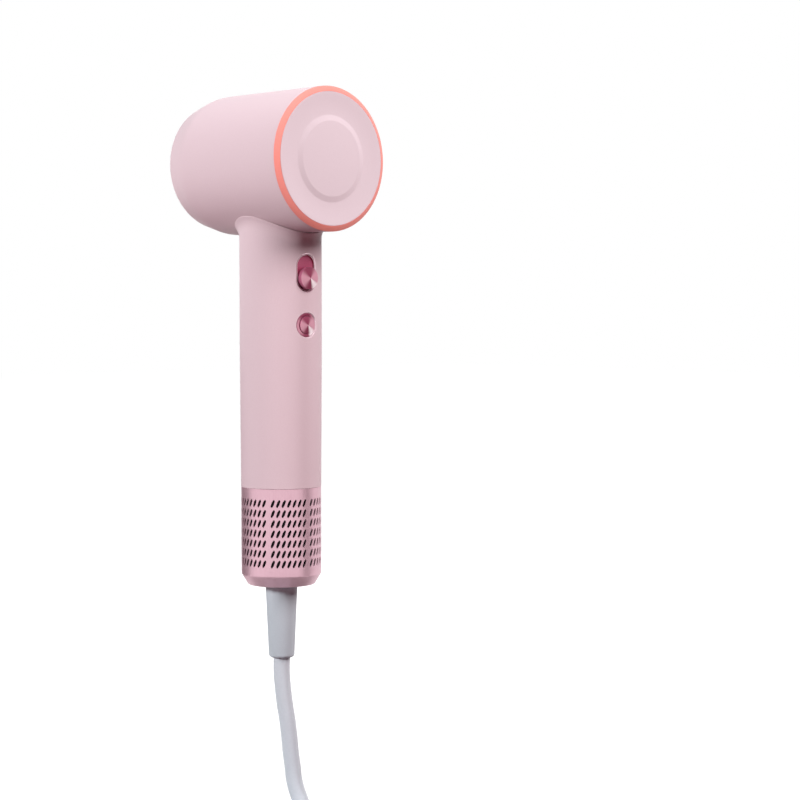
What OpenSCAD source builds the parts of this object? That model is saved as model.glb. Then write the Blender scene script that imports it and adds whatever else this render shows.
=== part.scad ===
// Travel hair dryer with a slim round handle, an annular outlet and a motor in the grip.
// Millimetres. The origin is the middle of the grip on the handle axis, +Z is up,
// the barrel axis runs along Y, the outlet faces -Y and the controls face +Y.

/* [Head] */
// Outer radius of the barrel
head_r = 35; // [34:0.5:38]
// Wall thickness of the barrel and of the handle
shell_wall = 1.8; // [1.4:0.1:2.2]
// Height of the barrel axis above the middle of the grip
head_z = 98.5; // [97:0.5:104]
// Distance from the handle axis forward to the nose face
head_front = 49.1; // [47.1:0.5:54.1]
// Distance from the handle axis back to the rear edge of the barrel
head_rear = 36.8; // [35.8:0.5:40.8]
// Angle of the nose cone to the barrel
nose_angle = 15; // [12:0.5:18]
// Length of the nose cone along the barrel
nose_len = 13.7; // [11:0.1:15]
// Rounding of the nose edge
nose_edge_r = 1.2; // [0.8:0.1:1.8]
// Rounding between the nose cone and the barrel
nose_blend_r = 12; // [8:1:16]

/* [Outlet] */
// Width of the nose's flat rim around the outlet
nose_rim = 3.95; // [3.5:0.05:4.5]
// Depth of the black recess around the outlet rings
recess_depth = 6; // [4:0.5:8]
// Wall thickness of the recess liner
recess_wall = 1.2; // [0.8:0.1:1.6]
// Width of the recess, from the nose opening to the outer ring
recess_gap = 2.5; // [2:0.1:3]
// Radial thickness of each outlet ring
ring_w = 1.4; // [1:0.1:1.8]
// Width of the air slot between the two rings
air_slot = 2; // [1.4:0.1:2.6]
// Depth of the inner ring and of the spokes
ring_h = 3; // [2:0.5:5]
// How far the rings stand out ahead of the nose
ring_proud = 0.3; // [0.1:0.1:1]
// Number of spokes between the rings
spokes = 7; // [5:1:9]
// Width of a spoke
spoke_w = 1.9; // [1.2:0.1:2.4]
// Slant of a spoke away from the radius
spoke_slant = 18; // [0:1:30]
// Radius of the central throat
throat_r = 11; // [10:0.5:12]
// Depth of the throat behind the nose face
throat_depth = 12; // [10:0.5:15]
// Wall thickness of the outlet funnel and of its core tube
funnel_wall = 1.2; // [0.8:0.1:1.6]
// Depth of the closed end of the core behind the nose face
core_depth = 39; // [30:1:45]
// Thickness of the magnet ring that holds a nozzle
magnet_h = 3; // [2:0.5:4]

/* [Rear cover] */
// Wall of the accent ring's spigot inside the barrel
accent_wall = 0.75; // [0.6:0.05:1.2]
// Depth of the spigot inside the barrel
accent_depth = 3.7; // [2.5:0.1:5]
// Straight edge of the accent ring behind the barrel
accent_lip = 0.3; // [0.2:0.1:0.8]
// Rise of the accent ring's bevel
accent_rise = 1.5; // [1:0.1:2.2]
// Wall thickness of the rear cover
cover_wall = 1.6; // [1.2:0.1:2.2]
// Depth of the rear cover's dish
dish_depth = 1.1; // [0.6:0.1:1.6]
// Radius where the dish ends
dish_r = 21; // [20:0.5:23]
// Radius of the raised disc
disc_r = 17.5; // [15:0.5:18.5]
// Rise of the disc above the dish
disc_rise = 1.5; // [0.8:0.1:2]
// Crown of the disc
disc_crown = 0.3; // [0.1:0.1:0.6]

/* [Heater and electronics] */
// Thickness of the heat sleeve
sleeve_wall = 0.7; // [0.5:0.1:1]
// Number of mica plates
plates = 6; // [4:1:8]
// Thickness of a mica plate
plate_t = 0.6; // [0.4:0.1:1]
// Radius of the heating wire coil section
wire_r = 0.4; // [0.3:0.05:0.6]
// Number of heating wire turns
wire_turns = 7; // [4:1:8]
// Spacing of the heating wire turns
wire_pitch = 5; // [4:0.25:5]
// Diameter of the thermostat
thermostat_d = 6; // [4:0.5:7]
// Diameter of the thermal fuse
fuse_d = 2.4; // [1.6:0.2:3]
// Length of the thermal fuse
fuse_len = 10; // [6:1:12]
// Distance of the inner frame's front face behind the handle axis
frame_y = 5; // [4:0.5:8]
// Thickness of the inner frame
frame_t = 4; // [3:0.5:5]
// Width of an inner frame arm
arm_w = 4; // [3:0.5:5]
// Distance of the board posts from the board's edge
post_inset = 5; // [4.5:0.25:6]
// Radius of a board post
post_r = 3; // [2.5:0.25:3.5]
// Height of a board post
post_h = 16; // [14:0.5:17]
// Gap between the main board and the barrel
board_gap = 4.2; // [3.5:0.1:5]
// Thickness of the circuit boards
board_t = 1.6; // [1:0.2:2]
// Radius of the small screws' threads
screw_r = 1; // [0.8:0.1:1.2]
// Radius of the small screws' heads
screw_head_r = 2.2; // [1.8:0.1:2.4]
// Height of the small screws' heads
screw_head_h = 1.6; // [1:0.1:2]
// Length of the board screws below the head
screw_len = 8.6; // [6:0.2:10]

/* [Handle] */
// Outer radius of the grip
grip_r = 20; // [19.5:0.25:21]
// Distance from the middle of the grip down to its lower edge
grip_low = 62; // [60:0.5:66]
// Distance from the middle of the grip up to the end of its straight part
grip_high = 10; // [7:0.5:10]
// Growth of the handle radius above the grip
handle_swell = 0.4; // [0.1:0.1:0.6]
// Height of the flare under the barrel
flare_h = 7; // [5:0.5:8]
// Reach of the flare
flare_w = 2.4; // [1.6:0.1:3]
// Chamfer of the grip's and the inlet cover's edges where they meet
end_edge = 0.4; // [0.2:0.05:0.5]
// Width of the seam between handle and barrel
seam = 0.3; // [0.2:0.05:0.5]
// Wall thickness of the neck tube that joins handle and barrel
neck_wall = 1.5; // [1:0.1:2]

/* [Controls] */
// Distance from the foot of the flare down to the slider at rest
slider_drop = 19.9; // [18.5:0.1:21.5]
// Travel of the slider
slider_travel = 6; // [4:0.25:6.5]
// Radius of the slider slot's round ends
slot_r = 5.75; // [5.5:0.05:6.25]
// Radius of the slider knob
knob_r = 5.45; // [5:0.05:5.6]
// How far the knob stands out from the handle
knob_proud = 2.7; // [2:0.1:4]
// Distance from the slider at rest down to the button
button_drop = 22.4; // [21.5:0.1:23.5]
// Outer radius of the button bezel
bezel_r = 5.8; // [5.4:0.05:6.2]
// Width of the bezel ring
bezel_w = 1.4; // [1:0.1:1.6]
// How far the button stands out from the handle
button_proud = 0.8; // [0.5:0.1:1.5]
// Travel of the button
button_travel = 0.8; // [0.5:0.1:1]
// Depth of the switch board's outer face below the handle's inner wall
switch_depth = 7.2; // [7:0.1:7.7]

/* [Motor and fan] */
// Wall thickness of the motor tube
motor_wall = 0.9; // [0.7:0.1:1.2]
// Wall thickness of the rubber damper around the motor tube
damper_wall = 2.45; // [2.2:0.05:2.8]
// Length of the rubber damper around the motor tube
damper_len = 44; // [43:0.5:48]
// Wall thickness of the hub
hub_wall = 0.7; // [0.5:0.05:1]
// Number of fixed guide vanes
vanes = 9; // [7:1:11]
// Thickness of a guide vane
vane_t = 0.8; // [0.6:0.1:1]
// Radius of the rotor shaft
shaft_r = 1.5; // [1.25:0.05:1.75]
// Radial clearance of the shaft in its bearings
shaft_fit = 0.05; // [0.03:0.01:0.08]
// Outer radius of the bearings
bearing_r = 3.5; // [3.2:0.1:4]
// Height of a bearing
bearing_h = 2.5; // [2:0.1:3]
// Wall thickness of the rotor magnet
magnet_t = 3.1; // [2.8:0.1:3.3]
// Radial thickness of the windings
winding_w = 1.8; // [1.5:0.1:2]
// Gap between the rotor magnet and the stator teeth
air_gap = 0.5; // [0.3:0.05:0.6]
// Width of a stator tooth
tooth_w = 3.4; // [3:0.1:4]
// Radial thickness of the stator's back ring
stator_back = 1.4; // [1.1:0.1:1.6]
// Height of the impeller
impeller_h = 14; // [12:0.5:14.5]
// Running clearance of the impeller in the motor tube
tip_gap = 0.4; // [0.3:0.05:0.6]
// Number of impeller blades
blades = 11; // [7:1:13]
// Thickness of an impeller blade
blade_t = 0.8; // [0.6:0.1:1]
// Lean of the impeller blades
blade_lean = 35; // [20:1:40]

/* [Inlet] */
// Length of the perforated inlet cover
inlet_len = 49; // [48:0.5:54]
// Wall thickness of the inlet cover
inlet_wall = 0.8; // [0.6:0.1:0.9]
// How far the inlet cover stands back from the grip's surface
inlet_inset = 0.1; // [0:0.05:0.3]
// Height of the chamfer at the lower end
chamfer_h = 5.4; // [4:0.1:7]
// Width of the chamfer at the lower end
chamfer_w = 3.2; // [2.5:0.1:5]
// Number of panels of slots around the cover
panels = 6; // [4:1:6]
// Columns of slots in a panel
columns = 7; // [3:2:7]
// Angle between columns
column_angle = 8; // [7:0.25:8.5]
// Rows of slots
rows = 7; // [3:1:7]
// Spacing of the rows
row_pitch = 4.97; // [4.5:0.01:5.2]
// Height of a slot
slot_h = 3.8; // [3:0.05:4]
// Width of a slot
slot_w = 1.3; // [1:0.1:1.5]
// Lean of the slots
slot_lean = 24; // [0:1:26]
// Distance from the grip's lower edge to the middle of the first row
slot_start = 7.1; // [6.5:0.1:8]
// Wall thickness of the inlet cage
cage_wall = 1.6; // [1.2:0.1:1.8]
// Length of the cage inside the handle
cage_insert = 7.8; // [6:0.1:8]
// Thickness of the filter mesh
mesh_t = 0.4; // [0.3:0.05:0.5]
// Thickness of the cage's base
base_t = 2; // [1.5:0.25:2.5]

/* [Cord] */
// Radius of the power cord
cord_r = 4.1; // [3.5:0.1:4.2]
// Radius of the strain relief at the inlet cover
relief_r = 8; // [7.5:0.1:8.5]
// Radius of the strain relief near its tip
relief_tip_r = 6.4; // [6:0.05:7]
// Length of the strain relief below the inlet cover
relief_len = 37.2; // [34:0.1:42]
// Length of the rounding at the strain relief's tip
relief_round = 1.8; // [1:0.1:4]
// Height of the cord clamp
clamp_h = 6.5; // [5:0.5:8]
// Radius of the lead wires inside the handle
lead_r = 0.75; // [0.5:0.05:0.9]
// Radius of the plug pins
pin_r = 2.4; // [2:0.1:2.5]
// Length of the plug pins
pin_len = 19; // [17:0.5:20]
// Distance between the plug pins
pin_spacing = 19; // [18:0.5:20]
// Length of the plug body
plug_len = 28; // [24:1:32]
// Width of the plug body
plug_w = 36; // [34:1:40]
// Thickness of the plug body
plug_t = 14; // [12:0.5:16]

/* [Hidden] */
$fn = 64;

// Clearances: assembled pieces, pressed pieces, moving pieces, and how far a cut runs past its piece
fit_gap = 0.1;
press_gap = 0.02;
run_gap = 0.3;
over = 1;
arc_steps = 6;

// Barrel and nose outline
barrel_in = head_r - shell_wall;
nose_y = -head_front;
nose_in_y = nose_y + shell_wall;
nose_tan = tan(nose_angle);
nose_end_r = head_r - nose_len * nose_tan;
nose_edge_c = nose_end_r + nose_edge_r * (nose_tan - 1 / cos(nose_angle));
nose_in_r = nose_end_r + shell_wall * (nose_tan - 1 / cos(nose_angle));
nose_in_len = (barrel_in - nose_in_r) / nose_tan;
blend_y = nose_y + nose_len + nose_blend_r * tan(nose_angle / 2);

// Outlet rings, recess and funnel
seat_floor = 1.5;
grille_tail = 1.6;
mouth_inset = 0.6;
core_tail = 3;
outlet_r = nose_end_r - nose_rim;
outer_ring_r = outlet_r - recess_gap;
slot_out_r = outer_ring_r - ring_w;
slot_in_r = slot_out_r - air_slot;
mouth_r = slot_in_r - ring_w - fit_gap;
ring_y = nose_y - ring_proud;
spoke_overlap = ring_w / 2;
recess_y = nose_y + recess_depth;
seat_back_y = recess_y + seat_floor;
seat_in_r = outer_ring_r + 2 * fit_gap;
seat_out_r = outlet_r + recess_wall;
grille_back_y = seat_back_y + grille_tail;
mouth_y = ring_y + mouth_inset;
throat_y = nose_y + throat_depth;
core_r = throat_r + funnel_wall;
core_floor_y = nose_y + core_depth;
core_end_y = frame_y + core_tail;

// Accent ring and rear cover
skirt_drop = 0.5;
spigot_r = barrel_in - fit_gap;
accent_in = spigot_r - accent_wall;
accent_low_y = head_rear - accent_depth;
accent_top_y = head_rear + accent_lip + accent_rise;
rear_r = accent_in - fit_gap;
dish_y = accent_top_y - dish_depth;
cover_in_y = dish_y - cover_wall;
skirt_y = accent_low_y - skirt_drop;
disc_y = dish_y + disc_rise;

// Heater: sleeve, mica plates, wire and safety cut-outs
wire_gap = 0.15;
plate_gap = 1;
plate_margin = 3;
sensor_gap = 3;
thermostat_h = 4;
sleeve_in = outer_ring_r - fit_gap / 2 - sleeve_wall;
coil_ring_r = sleeve_in - wire_gap - wire_r;
plate_in = core_r + fit_gap;
plate_out = coil_ring_r - wire_r - fit_gap / 2;
plate_end_y = frame_y - plate_gap;
plate_y = plate_end_y - (wire_turns - 1) * wire_pitch - 2 * plate_margin;
wire_y = plate_y + plate_margin;

// Inner frame, main board and the parts on it
frame_hub_wall = 2.7;
pad_t = 2;
capacitor_r = 4;
capacitor_len = 12;
capacitor_x = 16;
relay_w = 10;
relay_h = 14;
relay_t = 9;
chip_w = 12;
chip_t = 2.2;
part_gap = 2;
frame_hub_in = core_r + fit_gap;
frame_hub_r = frame_hub_in + frame_hub_wall;
frame_end_y = frame_y + frame_t;
arm_end_r = barrel_in - 1.5 * fit_gap;
arm_angles = [90, 210, 330];
pad_w = 3 * arm_w;
board_r = barrel_in - board_gap;
post_circle = board_r - post_inset;
board_y = frame_end_y + post_h;
board_end_y = board_y + board_t;
screw_hole_r = screw_r + run_gap;
pilot_r = screw_r + fit_gap / 2;

// Handle outline: the straight grip, its swell and the flare that meets the barrel
flare_drop = 2.7;
neck_reach = 1.5;
handle_in = grip_r - shell_wall;
handle_top_r = grip_r + handle_swell;
saddle_r = head_r + seam;
flare_z = head_z - saddle_r - flare_drop;
flare_r = (flare_h * flare_h + flare_w * flare_w) / (2 * flare_w);
flare_turn = asin(flare_h / flare_r);
flare_top_r = handle_top_r + flare_w;
saddle_z = head_z - sqrt(saddle_r * saddle_r - flare_top_r * flare_top_r);
neck_r = handle_in - fit_gap;
neck_in = neck_r - neck_wall;
neck_top_r = barrel_in - neck_reach;

// Slider: tray in the slot, knob, carriage and slide switch
slot_slack = 0.5;
rim_w = 0.35;
tray_depth = 1.7;
tray_floor = 0.8;
stem_w = 3;
stem_gap = 0.2;
stem_drop = 2.5;
knob_chamfer = 0.5;
carriage_t = 0.9;
carriage_w = 8;
carriage_h = 10;
lever_w = 2;
lever_reach = 2.3;
lever_gap = 0.25;
slide_w = 7;
slide_end = 4.6;
slider_z = flare_z - slider_drop;
slot_len = slider_travel + slot_slack;
plate_r = slot_r - fit_gap / 2;
tray_r = plate_r - rim_w;
tray_y = handle_in - tray_depth;
stem_slot = stem_w + 2 * stem_gap;
knob_neck_r = tray_r - run_gap;
knob_low_y = tray_y + tray_floor + run_gap;
control_r = grip_r + handle_swell / 2;
knob_step_y = control_r + run_gap;
knob_y = control_r + knob_proud;
carriage_y = tray_y - run_gap;
slide_top_y = carriage_y - carriage_t - run_gap;
slide_start_z = slider_z - slide_end;
slide_end_z = slider_z + slider_travel + slide_end;

// Button: bezel, cap and push switch, and the board that carries both switches
bezel_drop = 1;
flange_t = 0.8;
flange_lap = 0.5;
stem_r = 1.6;
stem_clear = 0.4;
tact_w = 6;
tact_h = 3.2;
tact_floor = 1.2;
tact_bore_r = 1.9;
plunger_gap = 0.15;
board_below = 12.2;
board_above = 8;
neck_gap = 1.4;
button_z = slider_z - button_drop;
bezel_hole_r = bezel_r + fit_gap / 2;
bezel_in = bezel_r - bezel_w;
bezel_low_y = handle_in - run_gap - bezel_drop;
cap_r = bezel_in - 2 * fit_gap;
cap_y = control_r + button_proud;
flange_y = bezel_low_y - 2 * fit_gap;
flange_r = bezel_in + flange_lap;
switch_y = handle_in - switch_depth;
switch_half_w = sqrt(handle_in * handle_in - switch_y * switch_y) - fit_gap;
tact_y = switch_y + tact_h;
tact_floor_y = switch_y + tact_floor;
plunger_r = tact_bore_r - plunger_gap;
plunger_y = tact_floor_y + button_travel + 2 * fit_gap;
stem_y = tact_y + button_travel + stem_clear;
board_low_z = button_z - board_below;
board_top_z = slider_z + slider_travel + board_above;
neck_low = board_top_z + neck_gap;

// Motor radii: the tube from the handle's wall inwards, the motor from its shaft outwards
groove_floor = 0.5;
groove_w = 5.2;
tooth_tip = 0.5;
tooth_fit = 0.2;
impeller_nose = 2;
damper_r = handle_in - 1.5 * fit_gap;
damper_in = damper_r - damper_wall;
motor_r = damper_in - fit_gap;
groove_y = -(motor_r + groove_floor);
duct_r = motor_r - motor_wall;
magnet_r = shaft_r + press_gap + magnet_t;
tooth_in = magnet_r + air_gap;
winding_in = tooth_in + tooth_tip;
winding_out = winding_in + winding_w;
stator_in = winding_out + 2 * fit_gap;
stator_r = stator_in + stator_back;
hub_in = stator_r + fit_gap;
hub_r = hub_in + hub_wall;
bearing_seat_r = bearing_r + press_gap;
bearing_in = shaft_r + shaft_fit;
impeller_r = duct_r - tip_gap;
impeller_hub_low_r = shaft_r + impeller_nose;
impeller_hub_r = hub_r - run_gap;

// Motor heights, from the cage's upper end upwards
tube_below = 1;
tube_above = 2;
tube_mouth = 6;
stage_gap = 3;
hub_inset = 1;
hub_floor = 2;
stator_below = 5;
stator_above = 6;
winding_over = 1.2;
magnet_over = 1;
vane_below = 6;
vane_above = 3;
shaft_over = 0.5;
cage_top = -grip_low + cage_insert;
damper_low = cage_top + 2 * fit_gap;
damper_top = damper_low + damper_len;
motor_low = damper_low - tube_below;
motor_top = damper_top + tube_above;
impeller_low = motor_low + tube_mouth;
impeller_top = impeller_low + impeller_h;
hub_low = impeller_top + stage_gap;
hub_top = motor_top - hub_inset;
stator_low = hub_low + stator_below;
stator_top = hub_top - stator_above;
stator_h = stator_top - stator_low;
vane_low = hub_low + vane_below;
vane_top = hub_top - vane_above;
shaft_top = motor_top + shaft_over;

// Inlet: cage, filter and the perforated cover that slides down over them
base_drop = 0.6;
window_w = 12;
window_margin = 4;
filter_rise = 3.5;
inlet_r = grip_r - inlet_inset;
inlet_in = inlet_r - inlet_wall;
inlet_top = -grip_low - run_gap;
inlet_low = -grip_low - inlet_len;
inlet_hole_r = relief_r + 2 * run_gap;
cage_r = handle_in - 2 * fit_gap;
cage_in = cage_r - cage_wall;
base_low = inlet_low + chamfer_h - base_drop;
base_top = base_low + base_t;
window_top = -grip_low - window_margin;
window_low = base_top + window_margin;
filter_in = cage_r + 2.5 * fit_gap;
filter_low = base_low + filter_rise;
panel_angle = 360 / panels;
first_panel = 90 + panel_angle / 2;

// Strain relief and its clamp
relief_flange = 1.4;
relief_flange_t = 2;
relief_groove = 1.1;
clamp_screw_gap = 2.5;
clamp_margin = 3;
clamp_w = 9;
boss_r = 2.4;
pilot_floor = 0.5;
relief_flange_r = relief_r + relief_flange;
relief_neck_r = relief_r - relief_groove;
relief_tip_z = inlet_low - relief_len;
relief_end_r = cord_r + 2 * fit_gap;
clamp_low = base_top + relief_flange_t;
clamp_top = clamp_low + clamp_h;
clamp_screw_x = relief_flange_r + clamp_screw_gap;
clamp_half = clamp_screw_x + clamp_margin;
clamp_screw_len = clamp_top - base_low - pilot_floor - fit_gap;

// Lead wires: up the cage's wall, past the motor, up the neck and back to the main board
lead_x = 1.4;
lead_gap = 0.25;
lead_neck_gap = 0.65;
lead_drop = 3;
lead_sides = 8;
lead_cage_y = lead_r + lead_gap - cage_in;
lead_wall_y = -(motor_r + handle_in) / 2;
lead_neck_y = lead_r + lead_neck_gap - neck_in;
lead_cross_z = head_z - outer_ring_r - lead_drop;
lead_rise = cage_top - clamp_top;
lead_turn = -lead_neck_y;
lead_route = [
    [0, clamp_top + fit_gap], [0.05 * lead_cage_y, clamp_top + 0.1 * lead_rise],
    [0.32 * lead_cage_y, clamp_top + 0.26 * lead_rise],
    [0.71 * lead_cage_y, clamp_top + 0.48 * lead_rise],
    [lead_cage_y, clamp_top + 0.67 * lead_rise], [lead_wall_y, clamp_top + 0.9 * lead_rise],
    [lead_wall_y, damper_low], [lead_wall_y, damper_top], [lead_neck_y, (damper_top + neck_low) / 2],
    [lead_neck_y, neck_low], [lead_neck_y, lead_cross_z - 0.6 * lead_turn],
    [-0.88 * lead_turn, lead_cross_z - 0.27 * lead_turn],
    [-0.6 * lead_turn, lead_cross_z - 0.07 * lead_turn],
    [-0.2 * lead_turn, lead_cross_z], [0.95 * lead_turn, lead_cross_z], [board_y - fit_gap, lead_cross_z]
];

// Power cord: straight down from the strain relief, then over into a flat two-layer coil
coil_drop = 107.8;
coil_c = [52, 23];
coil_out = 59.2;
coil_in = 34;
tie_t = 0.8;
tie_angle = 12;
cord_sides = 10;
coil_low = relief_tip_z - coil_drop;
coil_top = coil_low + 4 * cord_r;
cord_steps = [
    [0, 0, 0], [0, 0, -7.8], [-0.4, 0.4, -15.8], [-1.1, 1, -23.8], [-2, 1.8, -31.8],
    [-2.8, 2.3, -39.8], [-3.4, 2.7, -47.8], [-4.2, 3.2, -55.3], [-4.8, 4, -63.3], [-6, 6, -70.8],
    [-7, 9.5, -77.8], [-8, 14.5, -84.3], [-8, 21, -89.3], [-7.5, 28, -92.8], [-6, 35.5, -94.8],
    [-4, 42, -95.5]
];
cord_route = [for (step = cord_steps) step + [0, 0, relief_tip_z]];

// Plug at the free end, lying beside the coil
plug_x = 8;
plug_y = -33.5;
plug_relief_len = 12;
plug_relief_r = 6.3;
plug_tail_r = 4.6;
plug_face_r = 3;
plug_bevel = 2;
plug_edge = 1;
plug_shoulder = 14;
plug_room = 2;
pin_tip = 1.2;
plug_neck = plug_relief_r + plug_room;
plug_z = coil_low - tie_t + plug_t / 2;
tail_route = [
    [plug_x + 16, plug_y, plug_z - 1], [plug_x + 12, plug_y, plug_z - 0.6],
    [plug_x + 6, plug_y, plug_z], [plug_x, plug_y, plug_z]
];

// Points of an arc from angle a0 to a1
function arc(centre, r, a0, a1, steps = arc_steps) =
    [for (i = [0:steps]) centre + r * [cos(a0 + (a1 - a0) * i / steps), sin(a0 + (a1 - a0) * i / steps)]];

function unit(v) = v / norm(v);

// Direction of a route at one of its points
function heading(route, i) =
    unit(route[min(i + 1, len(route) - 1)] - route[max(i - 1, 0)]);

// Ring of points around a route's point, square to the route
function ring_at(route, i, r, sides, across) =
    let (
        ahead = heading(route, i),
        side = unit(cross(ahead, across)),
        up = cross(side, ahead)
    )
    [for (k = [0:sides - 1]) route[i] + r * (cos(360 * k / sides) * side + sin(360 * k / sides) * up)];

// Round tube swept along a route; across is a direction the route never takes
module swept_tube(route, r, sides, across) {
    last = len(route) - 1;
    points = [for (i = [0:last]) each ring_at(route, i, r, sides, across)];
    walls = [
        for (i = [0:last - 1], k = [0:sides - 1])
            let (n = (k + 1) % sides)
            [i * sides + k, i * sides + n, (i + 1) * sides + n, (i + 1) * sides + k]
    ];
    start_cap = [for (k = [0:sides - 1]) sides - 1 - k];
    end_cap = [for (k = [0:sides - 1]) last * sides + k];
    polyhedron(points, concat([start_cap], walls, [end_cap]), convexity = 6);
}

// Places children on the barrel axis, with their z running to the rear
module along_head() {
    translate([0, 0, head_z])
        rotate([-90, 0, 0])
            children();
}

// Turned piece on the barrel axis from [radius, y] points
module head_turned(points) {
    along_head()
        rotate_extrude()
            polygon(points);
}

// Plain ring on the barrel axis
module head_ring(outer, inner, y0, y1) {
    head_turned([[inner, y0], [outer, y0], [outer, y1], [inner, y1]]);
}

// Turns children to an angle around the barrel, measured from +X towards +Z
module at_head_angle(angle) {
    along_head()
        rotate([0, 0, -angle])
            children();
}

// Turned piece on the handle axis from [radius, z] points
module handle_turned(points) {
    rotate_extrude()
        polygon(points);
}

// Plain ring on the handle axis
module handle_ring(outer, inner, z0, z1) {
    handle_turned([[inner, z0], [outer, z0], [outer, z1], [inner, z1]]);
}

// Places children at a height with their z running to the rear
module facing_rear(z) {
    translate([0, 0, z])
        rotate([-90, 0, 0])
            children();
}

// Upright round-ended bar through the slider slot, between two depths
module slot_bar(r, y0, y1, length) {
    facing_rear(slider_z)
        translate([0, 0, y0])
            linear_extrude(y1 - y0)
                union() {
                    circle(r);
                    translate([0, -length])
                        circle(r);
                    translate([-r, -length])
                        square([2 * r, length]);
                }
}

// Box between two corners
module block(a, b) {
    translate(a)
        cube(b - a);
}

// Solid cylinder along the handle axis, used to trim pieces flush with the grip
module grip_trim() {
    translate([0, 0, -grip_low])
        cylinder(r = grip_r, h = grip_low + head_z);
}

// Barrel with a sloped nose, open at the rear and at the neck
module head_shell() {
    outer = concat(
        [[outlet_r, nose_y]],
        arc([nose_edge_c, nose_y + nose_edge_r], nose_edge_r, -90, -nose_angle),
        arc([head_r - nose_blend_r, blend_y], nose_blend_r, -nose_angle, 0)
    );
    inner = [
        [barrel_in, nose_in_y + nose_in_len], [nose_in_r, nose_in_y], [outlet_r, nose_in_y]
    ];
    color("#d8bdc6")
        difference() {
            head_turned(concat(outer, [[head_r, head_rear], [barrel_in, head_rear]], inner));
            translate([0, 0, head_z - head_r - over])
                cylinder(r = handle_in, h = head_r);
        }
}

// Bevelled ring at the rear edge with a spigot inside the barrel
module accent_ring() {
    color("#f0938a")
        head_turned([
            [accent_in, accent_low_y], [spigot_r, accent_low_y], [spigot_r, head_rear],
            [head_r, head_rear], [head_r, head_rear + accent_lip], [accent_in, accent_top_y]
        ]);
}

// Dished cover with a raised disc and a skirt inside the accent ring
module rear_cover() {
    dish_steps = 8;
    disc_steps = 5;
    dish = [
        for (i = [0:dish_steps])
            let (t = i / dish_steps)
            [rear_r - (rear_r - dish_r) * t, accent_top_y - dish_depth * sin(90 * t)]
    ];
    step = [
        for (i = [1:dish_steps])
            let (t = i / dish_steps)
            [dish_r - (dish_r - disc_r) * t, dish_y + disc_rise * (1 - cos(180 * t)) / 2]
    ];
    crown = [
        for (i = [1:disc_steps])
            [disc_r * (1 - i / disc_steps), disc_y + disc_crown * (1 - pow(1 - i / disc_steps, 2))]
    ];
    inside = [[0, cover_in_y], [rear_r - cover_wall, cover_in_y], [rear_r - cover_wall, skirt_y]];
    color("#d9bcc5")
        head_turned(concat([[rear_r, skirt_y]], dish, step, crown, inside));
}

// Black liner of the recess around the outlet rings
module outlet_seat() {
    color("#26262a")
        head_turned([
            [outlet_r, nose_in_y], [seat_out_r, nose_in_y], [seat_out_r, seat_back_y],
            [seat_in_r, seat_back_y], [seat_in_r, recess_y], [outlet_r, recess_y]
        ]);
}

// Ring magnet behind the recess that holds a nozzle
module magnet_ring() {
    color("#55585c")
        head_ring(seat_out_r - 4 * fit_gap, seat_in_r + run_gap, seat_back_y, seat_back_y + magnet_h);
}

// Two outlet rings joined by slanted spokes
module outlet_grille() {
    spoke_mid = (slot_out_r + slot_in_r) / 2;
    spoke_len = air_slot / cos(spoke_slant) + 2 * spoke_overlap;
    color("#a5a5a7")
        union() {
            head_ring(outer_ring_r, slot_out_r, ring_y, grille_back_y);
            head_ring(slot_in_r, slot_in_r - ring_w, ring_y, ring_y + ring_h);
            for (i = [0:spokes - 1])
                at_head_angle(90 + 360 * i / spokes)
                    translate([spoke_mid, 0, ring_y])
                        rotate([0, 0, spoke_slant])
                            translate([-spoke_len / 2, -spoke_w / 2, 0])
                                cube([spoke_len, spoke_w, ring_h]);
        }
}

// Trumpet funnel with the closed core tube behind it
module outlet_funnel() {
    bell_steps = 10;
    front = [
        for (i = [0:bell_steps])
            let (t = 90 * i / bell_steps)
            [mouth_r - (mouth_r - throat_r) * sin(t), throat_y - (throat_y - mouth_y) * cos(t)]
    ];
    back = [
        for (i = [bell_steps:-1:0])
            let (t = 90 * i / bell_steps)
            [
                mouth_r - (mouth_r - throat_r - funnel_wall) * sin(t),
                throat_y - (throat_y - mouth_y - funnel_wall) * cos(t)
            ]
    ];
    core = [
        [throat_r, core_floor_y], [0, core_floor_y], [0, core_floor_y + funnel_wall],
        [throat_r, core_floor_y + funnel_wall], [throat_r, core_end_y], [core_r, core_end_y]
    ];
    color("#77777b")
        head_turned(concat(front, core, back));
}

// Thin insulating tube around the heater
module heat_sleeve() {
    color("#c9c2b4")
        head_ring(sleeve_in + sleeve_wall, sleeve_in, grille_back_y, frame_y);
}

// Mica plates that stand on the core and carry the heating wire
module heater_frame() {
    color("#cbb99a")
        for (i = [0:plates - 1])
            at_head_angle(360 * (i + 0.5) / plates)
                translate([plate_in, -plate_t / 2, plate_y])
                    cube([plate_out - plate_in, plate_t, plate_end_y - plate_y]);
}

// Turns of heating wire around the mica plates
module heater_coils() {
    color("#8e7f78")
        for (i = [0:wire_turns - 1])
            along_head()
                translate([0, 0, wire_y + i * wire_pitch])
                    rotate_extrude()
                        translate([coil_ring_r, 0])
                            circle(wire_r);
}

// Cut-out thermostat standing on the core between two plates
module thermostat() {
    color("#b9bcc0")
        at_head_angle(0)
            translate([plate_in + fit_gap, 0, frame_y - sensor_gap - thermostat_d / 2])
                rotate([0, 90, 0])
                    cylinder(d = thermostat_d, h = thermostat_h);
}

// Thermal fuse lying along the core
module thermal_fuse() {
    color("#d8d2c4")
        at_head_angle(120)
            translate([plate_in + fit_gap + fuse_d / 2, 0, frame_y - sensor_gap - fuse_len])
                cylinder(d = fuse_d, h = fuse_len);
}

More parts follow.
